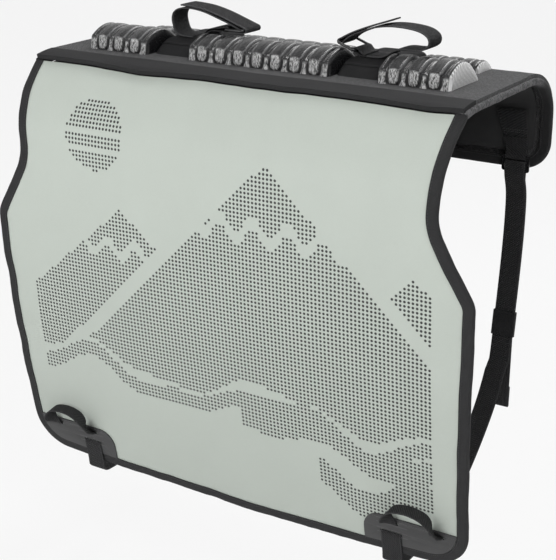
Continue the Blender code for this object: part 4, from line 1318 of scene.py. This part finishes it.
def make_cradle(node, finish):
    """The soft pad in a bike's slot: a sewn wedge that swells between its seams."""
    low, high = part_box(node)
    half, middle = (high.x - low.x) / 2, (high.x + low.x) / 2
    lines, lengths = side_profile(CRADLE_SIDE, CRADLE_LENGTH, CRADLE_HEIGHT, 0.0035)
    ends = [(0.0, 0.0), (0.0, 0.4), (0.0, 0.75), (0.0, 1.0)]
    ends += [(d, 1.0) for d in (0.0012, 0.003, 0.0055)]
    inner = 2 * half - 2 * CRADLE_MARGIN
    columns = [(-half + d, s) for d, s in ends]
    columns += [(-half + CRADLE_MARGIN + inner * k / 14, 1.0) for k in range(15)]
    columns += [(half - d, s) for d, s in ends[::-1]]

    def place(column, j):
        x, share = column
        (y, z), inward = lines[j]
        inside = min(half - abs(x), CRADLE_MARGIN) / CRADLE_MARGIN
        depth = CRADLE_ROUND * (1 - math.sqrt(1 - (1 - inside) ** 2))
        depth += 0.0012 * min(z / CRADLE_HEIGHT, 1.0)
        rise = max(z + inward.y * depth, 0.0) * share
        t = flat_t(CRADLE_FRONT) + y + inward.x * depth
        return draped(middle + x * 0.985, t, BLOCK_BASE + rise)

    obj = lay_grid(
        node.replace("cradle_pad", "cradle_cushion"), columns, list(range(len(lines))), place,
        lambda column, j: (column[0], lengths[j]),
    )
    close_up(obj, 2e-6)
    puff(obj, lambda co: co.z < low.z + 0.0015)
    add_and_apply(obj, "SUBSURF", levels=1, render_levels=1)
    for v in obj.data.vertices:
        crease = 0.0006 * math.exp(-(((v.co.y + 0.0375) / 0.0022) ** 2))
        v.co.x = min(max(v.co.x, low.x + 0.0002), high.x - 0.0002)
        v.co.z = min(max(v.co.z - crease, low.z), high.z - 0.0001)
    dressed(obj, finish, "cradle_pad", node)
    smooth(obj, 60)


# Straps


def block_top():
    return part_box("front_block_centre")[1].z


def cradle_top():
    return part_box("cradle_pad_right")[1].z


def strap_loops():
    """Where each side's strap runs, outward from the slot's centre and up from the origin."""
    edge, pad, top = SLOT_WIDTH / 2, cradle_top() + CLEARANCE, block_top()
    lying = pad + HOOK_STRAP_THICKNESS / 2
    right = {
        "strap_bar": (-edge - 0.0125, top + 0.0050),
        "tab_bar": (-edge + 0.0115, pad + 0.0076),
        "out": [
            (0.0280 - edge, lying), (edge - 0.028, lying), (edge - 0.020, lying + 0.0010),
            (edge - 0.011, lying + 0.0055), (edge - 0.003, top - 0.0002),
            (edge + 0.007, top + 0.0023), (edge + 0.023, top + 0.0026),
            (edge + 0.0365, top + 0.0045), (edge + 0.0450, top + 0.0110),
            (edge + 0.0445, top + 0.0195), (edge + 0.0350, top + 0.0262),
            (edge + 0.017, top + 0.0298), (edge - 0.008, top + 0.0305),
            (edge - 0.030, top + 0.0275), (edge - 0.048, top + 0.0215),
            (edge - 0.068, top + 0.0128),
        ],
        "back": [
            (edge - 0.068, top + 0.0163), (edge - 0.050, top + 0.0240),
            (edge - 0.032, top + 0.0304), (edge - 0.022, top + 0.0336),
            (edge - 0.013, top + 0.0368),
        ],
        "tab_out": [
            (-edge + 0.026, 0.0), (-edge + 0.0215, 0.0001), (-edge + 0.0180, 0.0008),
            (-edge + 0.0150, 0.0022),
        ],
        "tab_back": [
            (-edge + 0.0148, 0.0090), (-edge + 0.0174, 0.0060), (-edge + 0.0200, 0.0037),
            (-edge + 0.0230, 0.0024), (-edge + 0.026, 0.0020),
        ],
    }
    left = {
        "strap_bar": (-edge - 0.058, top + 0.0052),
        "tab_bar": (-edge - 0.030, top + 0.0047),
        "out": [
            (0.0280 - edge, lying), (edge - 0.028, lying), (edge - 0.020, lying + 0.0010),
            (edge - 0.0135, lying + 0.0045), (edge - 0.0095, top + 0.0035),
            (edge - 0.0080, top + 0.0125), (edge - 0.0105, top + 0.0205),
            (edge - 0.019, top + 0.0262), (edge - 0.038, top + 0.0285),
            (edge - 0.060, top + 0.0262), (edge - 0.083, top + 0.0197),
            (edge - 0.108, top + 0.0112),
        ],
        "back": [
            (edge - 0.110, top + 0.0147), (edge - 0.085, top + 0.0230),
            (edge - 0.060, top + 0.0291), (edge - 0.040, top + 0.0314),
            (edge - 0.024, top + 0.0322),
        ],
        "tab_out": [
            (-edge + 0.020, 0.0), (-edge + 0.0125, 0.0001), (-edge + 0.0075, 0.0017),
            (-edge + 0.0035, 0.0056), (-edge, 0.0096), (-edge - 0.0060, 0.0120),
            (-edge - 0.0175, 0.0123),
        ],
        "tab_back": [
            (-edge - 0.0175, 0.0165), (-edge - 0.0060, 0.0150), (-edge + 0.0012, 0.0124),
            (-edge + 0.0056, 0.0082), (-edge + 0.0098, 0.0042), (-edge + 0.0140, 0.0022),
            (-edge + 0.020, 0.0020),
        ],
    }
    return {"right": right, "left": left}


def slot_strap(name, side, path, width, thickness, fullness, seed):
    """A strap drawn in (x, z) about a slot's centre, with its width along Y."""
    turn = 1 if side == "right" else -1
    low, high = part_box("cradle_pad_" + side)
    centre = (low.x + high.x) / 2
    path = evenly(path, 0.002)
    rows = []
    last = len(path) - 1
    for i, point in enumerate(path):
        run = (path[min(i + 1, last)] - path[max(i - 1, 0)]).normalized()
        up = Vector((-run.y * turn, 0, run.x))
        sway = noise.noise(Vector((i * 0.02, seed, 0.3))) * 0.0012
        rows.append((Vector((centre + point.x * turn, sway, point.y)), Vector((0, 1, 0)), up))
    section = strap_ring_section(width, thickness, fullness)
    return sweep(name, rows, section, running_length(path))


def make_hook_strap(side, loop, finish):
    reach = RING_RADIUS + CLEARANCE + HOOK_STRAP_THICKNESS / 2
    wrap = ellipse(loop["strap_bar"], reach, reach, -50, -265, 10)
    path = smooth_path(loop["out"] + wrap + loop["back"], 0.003)
    obj = slot_strap(
        "hook_webbing_" + side, side, path, HOOK_STRAP_WIDTH, HOOK_STRAP_THICKNESS, 0.0002, 1.0
    )
    dressed(obj, finish, "hook_strap", "hook_strap_" + side)
    smooth(obj, 50)


def make_ring_tab(side, loop, finish):
    lying = cradle_top() + CLEARANCE + TAB_THICKNESS / 2
    reach = RING_RADIUS + CLEARANCE + TAB_THICKNESS / 2
    out = [(x, lying + up) for x, up in loop["tab_out"]]
    back = [(x, lying + up) for x, up in loop["tab_back"]]
    wrap = ellipse(loop["tab_bar"], reach, reach, -90, -270, 10)
    path = smooth_path(out + wrap + back, 0.002)
    obj = slot_strap(
        "ring_webbing_" + side, side, path, HOOK_STRAP_WIDTH, TAB_THICKNESS, 0.0001, 2.0
    )
    dressed(obj, finish, "ring_tab", "ring_tab_" + side)
    smooth(obj, 50)


def rear_side(name, path, shift, finish, slot):
    """A webbing at the back, drawn in the side view, and its twin on the other side.

    Its nodes have the slot's name with the side after it.
    """
    path = evenly(path, 0.003)
    rows = []
    last = len(path) - 1
    for i, (y, z) in enumerate(path):
        run = (path[min(i + 1, last)] - path[max(i - 1, 0)]).normalized()
        x, scale = shift(y, z)
        twist = noise.noise(Vector((i * 0.012, 0.7, 5.0))) * 0.10
        across = Vector((1, 0, 0)) * math.cos(twist) + Vector((0, -run.y, run.x)) * math.sin(twist)
        up = Vector((0, -run.y, run.x)) * math.cos(twist) - Vector((1, 0, 0)) * math.sin(twist)
        rows.append((Vector((x, y, z)), across * scale, up))
    section = strap_ring_section(WEBBING_WIDTH, WEBBING_THICKNESS, 0.0001, 10)
    obj = sweep(name + "_right", rows, section, running_length(path))
    dressed(obj, finish, slot, slot + "_right")
    smooth(obj, 50)
    twin = mirrored(obj, name + "_left")
    dressed(twin, finish, slot, slot + "_left")


def across_rear(y, z):
    """The rear strap's place across the pad, which drifts towards the hem."""
    hem = side_point(HEM_T, 0.0)
    back_y, low_z = BUCKLE_Y - 0.017, hem.y * 1.015
    back = min(max((y - hem.x) / (back_y - hem.x), 0.0), 1.0)
    up = min(max((z - low_z) / (hem.y * 0.61 - low_z), 0.0), 1.0)
    share = max(math.sqrt(back * up), back**8)
    return HEM_STRAP_X + (REAR_STRAP_X - HEM_STRAP_X) * share


def bar_wrap(bar_z, start, end):
    """The run of webbing round one of the buckle's bars."""
    across = BUCKLE_THICKNESS / 2 + CLEARANCE + WEBBING_THICKNESS
    up = BUCKLE_BAR / 2 + CLEARANCE + WEBBING_THICKNESS * 0.9
    return ellipse((BUCKLE_Y, bar_z), across, up, start, end, 10)


def anchor_route():
    """Webbing sewn inside the rear flap and folded round the buckle's top bar."""
    depth = LINING_THICKNESS + 2 * CLEARANCE + WEBBING_THICKNESS / 2
    second = depth + WEBBING_THICKNESS + LAYER_GAP
    points = []
    for up in (ANCHOR_LENGTH, 0.66 * ANCHOR_LENGTH, 0.34 * ANCHOR_LENGTH, 0.009):
        points.append(side_point(REAR_T - BUCKLE_ABOVE_EDGE - up, -depth))
    points += bar_wrap(BUCKLE_Z, 0, -180)
    turned = [(0.0050, 0.0066), (0.0090, 0.0038), (0.0140, 0.0008), (0.019, 0.0), (0.026, 0.0)]
    for up, extra in turned:
        points.append(side_point(REAR_T - BUCKLE_ABOVE_EDGE - up, -second - extra))
    return smooth_path([tuple(p) for p in points], 0.003)


def anchor_shift(y, z):
    taper = min(max((z - BUCKLE_Z - 0.006) / (ANCHOR_LENGTH - 0.006), 0.0), 1.0)
    width = WEBBING_WIDTH + (ANCHOR_TOP_WIDTH - WEBBING_WIDTH) * taper
    return REAR_STRAP_X - ANCHOR_LEAN * taper, width / WEBBING_WIDTH


def strap_route():
    """One webbing: folded tip, tail, round the buckle, down, under the hem and into its slot."""
    middle_z = BUCKLE_Z - BUCKLE_PITCH
    lower_z = middle_z - BUCKLE_PITCH
    beside = BUCKLE_THICKNESS / 2 + CLEARANCE + WEBBING_THICKNESS
    hem = side_point(HEM_T - HEM_LOOP, 0.0)
    reach = BUCKLE_Y - hem.x
    points = [(BUCKLE_Y - beside, lower_z), (BUCKLE_Y - beside / 2, lower_z - 0.008)]
    hanging = [
        (-0.030, 0.27), (-0.033, 0.34), (-0.020, 0.41), (0.000, 0.48), (0.022, 0.545),
        (0.040, 0.60), (0.062, 0.655), (0.097, 0.71), (0.145, 0.76), (0.205, 0.805),
        (0.285, 0.855), (0.370, 0.90), (0.470, 0.938), (0.580, 0.968), (0.720, 0.990),
        (0.860, 1.001),
    ]
    points += [(BUCKLE_Y - reach * across, hem.y * down) for across, down in hanging]
    over_tape = FRONT_THICKNESS + 2 * CLEARANCE + TAPE_THICKNESS + WEBBING_THICKNESS / 2
    over_patch = FRONT_THICKNESS + CLEARANCE + PATCH_THICKNESS + CLEARANCE + WEBBING_THICKNESS / 2
    lying = max(over_tape, over_patch) + CLEARANCE
    slot_t = HEM_T + LOWER_SLOT
    front = [
        (HEM_T - HEM_LOOP, 0.002), (HEM_T - 0.75 * HEM_LOOP, lying - 0.0015),
        (HEM_T - 0.35 * HEM_LOOP, lying + 0.0012), (HEM_T + 0.006, lying + 0.0002),
        (HEM_T + TAPE_FOLD + 0.003, lying), (slot_t - 0.0045, lying),
        (slot_t - 0.0018, lying - 0.0001), (slot_t - 0.0003, lying - 0.0010),
        (slot_t + 0.0002, lying - 0.0026),
    ]
    points += [tuple(side_point(t, h)) for t, h in front]
    main = smooth_path(points, 0.006)
    layer = WEBBING_THICKNESS + LAYER_GAP
    tail = offset_path([p for p in main if -TAIL_DOWN < p.y < lower_z - 0.012], -layer)
    fall = (tail[-1] - tail[-2]).normalized()
    fall = (fall + Vector((0.14, 0.0))).normalized()
    tip = tail[-1] + fall * TAIL_FREE
    side = Vector((-fall.y, fall.x))
    fold = [
        tip - fall * TAIL_FOLD + side * 1.6 * layer,
        tip - fall * TAIL_FOLD / 2 + side * 1.4 * layer,
        tip + side * 1.3 * layer, tip + fall * 0.0011 + side * 0.65 * layer,
    ]
    free = [tip, tip - fall * TAIL_FREE / 2]
    wrap = [Vector(p) for p in bar_wrap(middle_z, 0, 180)]
    buckle_side = [Vector((BUCKLE_Y + beside, z)) for z in (lower_z, middle_z - 0.003)]
    return fold + free + tail[::-1] + buckle_side + wrap + main


def soft_copy(name, node, width):
    """A merged copy of a CAD solid with softened edges."""
    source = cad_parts[node]
    copy = bpy.data.objects.new(name, source.data.copy())
    bpy.context.scene.collection.objects.link(copy)
    select_only(copy)
    bpy.ops.object.mode_set(mode="EDIT")
    bpy.ops.mesh.select_all(action="SELECT")
    bpy.ops.mesh.remove_doubles(threshold=1e-5)
    bpy.ops.mesh.tris_convert_to_quads(
        face_threshold=math.radians(20), shape_threshold=math.radians(60)
    )
    bpy.ops.object.mode_set(mode="OBJECT")
    add_and_apply(
        copy, "BEVEL", width=width, segments=2, limit_method="ANGLE",
        angle_limit=math.radians(50),
    )
    return copy


HANDLE_STEPS = [
    (1.0, 0.0, 0.0012, 0.0),
    (1.0, 0.0003, 0.0032, 0.0),
    (1.0, 0.0030, 0.0062, 0.08),
    (1.01, 0.0085, 0.0095, 0.30),
    (1.02, 0.0160, 0.0135, 0.62),
    (0.93, 0.0260, 0.0150, 0.88),
    (0.72, 0.0345, 0.0155, 1.0),
    (0.38, 0.0390, 0.0155, 1.0),
    (0.0, 0.0405, 0.0155, 1.0),
]


def make_pull_handle(finish):
    """A webbing loop that stands in two slots of the patch and is turned on edge at its top."""
    middle, half_span = (HEM_STRAP_X + HANDLE_OUTER_X) / 2, (HANDLE_OUTER_X - HEM_STRAP_X) / 2
    base = FRONT_THICKNESS + CLEARANCE
    steps = [Vector((out, up, lift, turn)) for out, up, lift, turn in HANDLE_STEPS]
    dense = smooth_path(steps, 0.12)
    dense = dense + [Vector((-s[0], s[1], s[2], s[3])) for s in dense[-2::-1]]
    slot_t = HEM_T + UPPER_SLOT
    places = [Vector((middle + half_span * s[0], slot_t + s[1], base + s[2])) for s in dense]
    rows = []
    last = len(places) - 1
    for i, place in enumerate(places):
        run = (places[min(i + 1, last)] - places[max(i - 1, 0)]).normalized()
        outward = Vector((run.y, -run.x, 0)).normalized()
        angle = math.pi / 2 * min(max(dense[i][3], 0.0), 1.0)
        wide = outward * math.cos(angle) + outward.cross(run) * math.sin(angle)
        thin = wide.cross(run).normalized()
        spots = [draped(*(place + step)) for step in (Vector(), wide * 0.001, thin * 0.001)]
        across, up = ((spot - spots[0]).normalized() for spot in spots[1:])
        rows.append((spots[0], across, up))
    along = running_length([row[0] for row in rows])
    section = strap_ring_section(HANDLE_WIDTH, HANDLE_THICKNESS, 0.0002)
    obj = sweep("pull_webbing_right", rows, section, along)
    dressed(obj, finish, "pull_handle", "pull_handle_right")
    smooth(obj, 50)
    twin = mirrored(obj, "pull_webbing_left")
    dressed(twin, finish, "pull_handle", "pull_handle_left")


# The camera, the lights and the stage


def make_camera():
    camera = bpy.data.cameras.new("photo_camera")
    camera.sensor_fit = "HORIZONTAL"
    camera.sensor_width = SENSOR_WIDTH
    camera.lens = SENSOR_WIDTH * FOCAL_PIXELS / PHOTO_WIDTH
    camera.clip_start = 0.05
    camera.clip_end = 100.0
    obj = bpy.data.objects.new("photo_camera", camera)
    bpy.context.scene.collection.objects.link(obj)
    level = math.cos(CAMERA_DOWN)
    forward = Vector((
        -math.sin(CAMERA_ROUND) * level, math.cos(CAMERA_ROUND) * level, -math.sin(CAMERA_DOWN)
    ))
    obj.location = CAMERA_PLACE
    obj.rotation_euler = forward.to_track_quat("-Z", "Y").to_euler()
    bpy.context.scene.camera = obj


def make_lamp(name, place, target, power, size, size_y=None):
    lamp = bpy.data.lights.new(name, "AREA")
    lamp.energy = power
    lamp.shape = "RECTANGLE"
    lamp.size = size
    lamp.size_y = size_y or size
    obj = bpy.data.objects.new(name, lamp)
    bpy.context.scene.collection.objects.link(obj)
    obj.location = place
    obj.rotation_euler = (Vector(target) - Vector(place)).to_track_quat("-Z", "Y").to_euler()


class PAD_OT_stage(bpy.types.Operator):
    """Adds the camera, the soft studio lamps, the pale floor and the backdrop"""

    bl_idname = "pad.stage"
    bl_label = "Stage"

    def execute(self, context):
        make_camera()
        make_lamp("key_lamp", (1.9, -1.3, 1.7), (0, -0.05, -0.2), 22, 1.2)
        make_lamp("front_lamp", (-0.7, -2.6, 0.0), (0, -0.15, -0.4), 28, 1.8)
        make_lamp("top_lamp", (0.1, 1.1, 1.7), (0, 0, 0), 26, 0.30, 1.8)
        world = bpy.data.worlds.new("studio")
        world.use_nodes = True
        background = world.node_tree.nodes["Background"]
        background.inputs["Color"].default_value = (0.92, 0.92, 0.92, 1.0)
        background.inputs["Strength"].default_value = 0.50
        context.scene.world = world
        context.scene.view_settings.view_transform = "Standard"
        white = stage_finish("pale_paper", (0.962, 0.962, 0.962), 0.9)
        select_only()
        bpy.ops.mesh.primitive_plane_add(size=24.0, location=(0, 0, FLOOR_Z))
        floor = bpy.context.object
        floor.name = "floor"
        floor.data.materials.append(white)
        select_only()
        bpy.ops.mesh.primitive_cylinder_add(
            vertices=96, radius=9.0, depth=12.0, end_fill_type="NOTHING", location=(0, 0, 4.0)
        )
        wall = bpy.context.object
        wall.name = "backdrop"
        wall.data.materials.append(white)
        return {"FINISHED"}


class PAD_OT_sheets(bpy.types.Operator):
    """Lays the front panel, the saddle and the lining, cut flat and draped"""

    bl_idname = "pad.sheets"
    bl_label = "Sheets"

    def execute(self, context):
        make_saddle()
        make_front_panel()
        make_lining()
        return {"FINISHED"}


class PAD_OT_bindings(bpy.types.Operator):
    """Folds the binding tape over the edges of both sheets"""

    bl_idname = "pad.bindings"
    bl_label = "Bindings"

    def execute(self, context):
        front_tape = tape_cloth("front_edge_tape", colors().tape)
        make_binding(
            "front_tape", front_edge(), FRONT_THICKNESS, -1, front_tape, "front_binding", front_wave
        )
        make_binding(
            "saddle_tape", saddle_edge(), SADDLE_THICKNESS, 1, saddle_tape_cloth(),
            "saddle_binding", lambda x, t: 0.0,
        )
        return {"FINISHED"}


class PAD_OT_blocks(bpy.types.Operator):
    """Moulds the six ribbed foam blocks"""

    bl_idname = "pad.blocks"
    bl_label = "Ribbed Blocks"

    def execute(self, context):
        front = {
            "side": BLOCK_SIDE, "length": 0.100, "height": 0.038, "front": -0.072, "step": 0.0012,
            "step_x": 0.0010, "u_centre": 0.0145, "face_end": 0.0275, "scale": 1.0, "seed": 1.0,
        }
        rear = {
            "side": REAR_BLOCK_SIDE, "length": 0.060, "height": 0.021, "front": 0.043,
            "step": 0.0014, "step_x": 0.0012, "u_centre": 0.011, "face_end": 0.010,
            "scale": 0.7, "seed": 5.0,
        }
        # The three foams differ only at the block ends: the outer end of each side block is painted
        # lit, all other ends are painted in shade.
        plain = {
            "right": ribbed_foam("foam_right", True, False),
            "centre": ribbed_foam("foam_centre", False, False),
            "left": ribbed_foam("foam_left", False, True),
        }
        for row, spec in (("front", front), ("rear", rear)):
            for place, finish in plain.items():
                node = f"{row}_block_{place}"
                low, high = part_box(node)
                ribs = 7 if place == "centre" else 3
                own = dict(spec, ribs=ribs, pitch=(high.x - low.x - 2 * BLOCK_MARGIN) / ribs)
                make_block(f"{row}_foam_{place}", node, finish, own)
        return {"FINISHED"}


class PAD_OT_cradles(bpy.types.Operator):
    """Sews the two cradle pads between the blocks and lets them swell as cloth"""

    bl_idname = "pad.cradles"
    bl_label = "Cradle Pads"

    def execute(self, context):
        finish = cradle_cloth()
        for side in SIDES:
            make_cradle("cradle_pad_" + side, finish)
        return {"FINISHED"}


class PAD_OT_hook_straps(bpy.types.Operator):
    """Makes the hook-and-loop straps, their rings and the rings' tabs"""

    bl_idname = "pad.hook_straps"
    bl_label = "Hook Straps"

    def execute(self, context):
        strap = hook_cloth()
        tab = webbing_cloth("tab_webbing", colors().webbing, HOOK_STRAP_WIDTH)
        plastic = moulded_plastic()
        for side, loop in strap_loops().items():
            make_hook_strap(side, loop, strap)
            make_ring_tab(side, loop, tab)
            ring = soft_copy("ring_" + side, "strap_ring_" + side, 0.0002)
            dressed(ring, plastic, "strap_ring", "strap_ring_" + side)
            smooth(ring, 60)
        return {"FINISHED"}


class PAD_OT_corners(bpy.types.Operator):
    """Makes the corner patches and the pull handles"""

    bl_idname = "pad.corners"
    bl_label = "Corner Patches"

    def execute(self, context):
        rubber = patch_rubber()
        for side in SIDES:
            patch = soft_copy("corner_grip_" + side, "corner_patch_" + side, 0.0006)
            dressed(patch, rubber, "corner_patch", "corner_patch_" + side)
            smooth(patch, 40)
        make_pull_handle(webbing_cloth("handle_webbing", (0.030, 0.030, 0.031), HANDLE_WIDTH))
        return {"FINISHED"}


class PAD_OT_rear_straps(bpy.types.Operator):
    """Makes the rear straps, their anchors, buckles and keepers"""

    bl_idname = "pad.rear_straps"
    bl_label = "Rear Straps"

    def execute(self, context):
        anchor = webbing_cloth(
            "anchor_webbing", (0.026, 0.026, 0.027), ANCHOR_TOP_WIDTH, tacks=(0.028, 0.031)
        )
        web = webbing_cloth("rear_webbing", colors().webbing, WEBBING_WIDTH)
        plastic = moulded_plastic()
        rear_side("anchor_webbing", anchor_route(), anchor_shift, anchor, "rear_anchor")
        rear_side(
            "rear_webbing", strap_route(), lambda y, z: (across_rear(y, z), 1.0), web, "rear_strap"
        )
        keeper = keeper_cloth()
        for side in SIDES:
            band = soft_copy("keeper_band_" + side, "strap_keeper_" + side, 0.0004)
            dressed(band, keeper, "strap_keeper", "strap_keeper_" + side)
            smooth(band, 50)
            buckle = soft_copy("buckle_frame_" + side, "rear_buckle_" + side, 0.0005)
            dressed(buckle, plastic, "rear_buckle", "rear_buckle_" + side)
            smooth(buckle, 50)
        return {"FINISHED"}


class PAD_PT_panel(bpy.types.Panel):
    """Lists the pad's sizes, colours and pieces"""

    bl_label = "Bike Pad"
    bl_idname = "PAD_PT_panel"
    bl_space_type = "VIEW_3D"
    bl_region_type = "UI"
    bl_category = "Bike Pad"

    def draw(self, context):
        layout = self.layout
        for group in (context.scene.pad_sizes, context.scene.pad_colors):
            column = layout.column()
            for key in group.bl_rna.properties.keys():
                if key not in {"rna_type", "name"}:
                    column.prop(group, key)
        for step in STEPS:
            layout.operator(step.bl_idname)


STEPS = (
    PAD_OT_stage,
    PAD_OT_sheets,
    PAD_OT_bindings,
    PAD_OT_blocks,
    PAD_OT_cradles,
    PAD_OT_hook_straps,
    PAD_OT_corners,
    PAD_OT_rear_straps,
)
CLASSES = (PadSizes, PadColors, *STEPS, PAD_PT_panel)


def register():
    for cls in CLASSES:
        bpy.utils.register_class(cls)
    bpy.types.Scene.pad_sizes = PointerProperty(type=PadSizes)
    bpy.types.Scene.pad_colors = PointerProperty(type=PadColors)


def unregister():
    del bpy.types.Scene.pad_colors
    del bpy.types.Scene.pad_sizes
    for cls in reversed(CLASSES):
        bpy.utils.unregister_class(cls)


def main():
    register()
    bpy.ops.pad.stage()
    bpy.ops.pad.sheets()
    bpy.ops.pad.bindings()
    bpy.ops.pad.blocks()
    bpy.ops.pad.cradles()
    bpy.ops.pad.hook_straps()
    bpy.ops.pad.corners()
    bpy.ops.pad.rear_straps()
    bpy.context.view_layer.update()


if __name__ == "__main__":
    main()
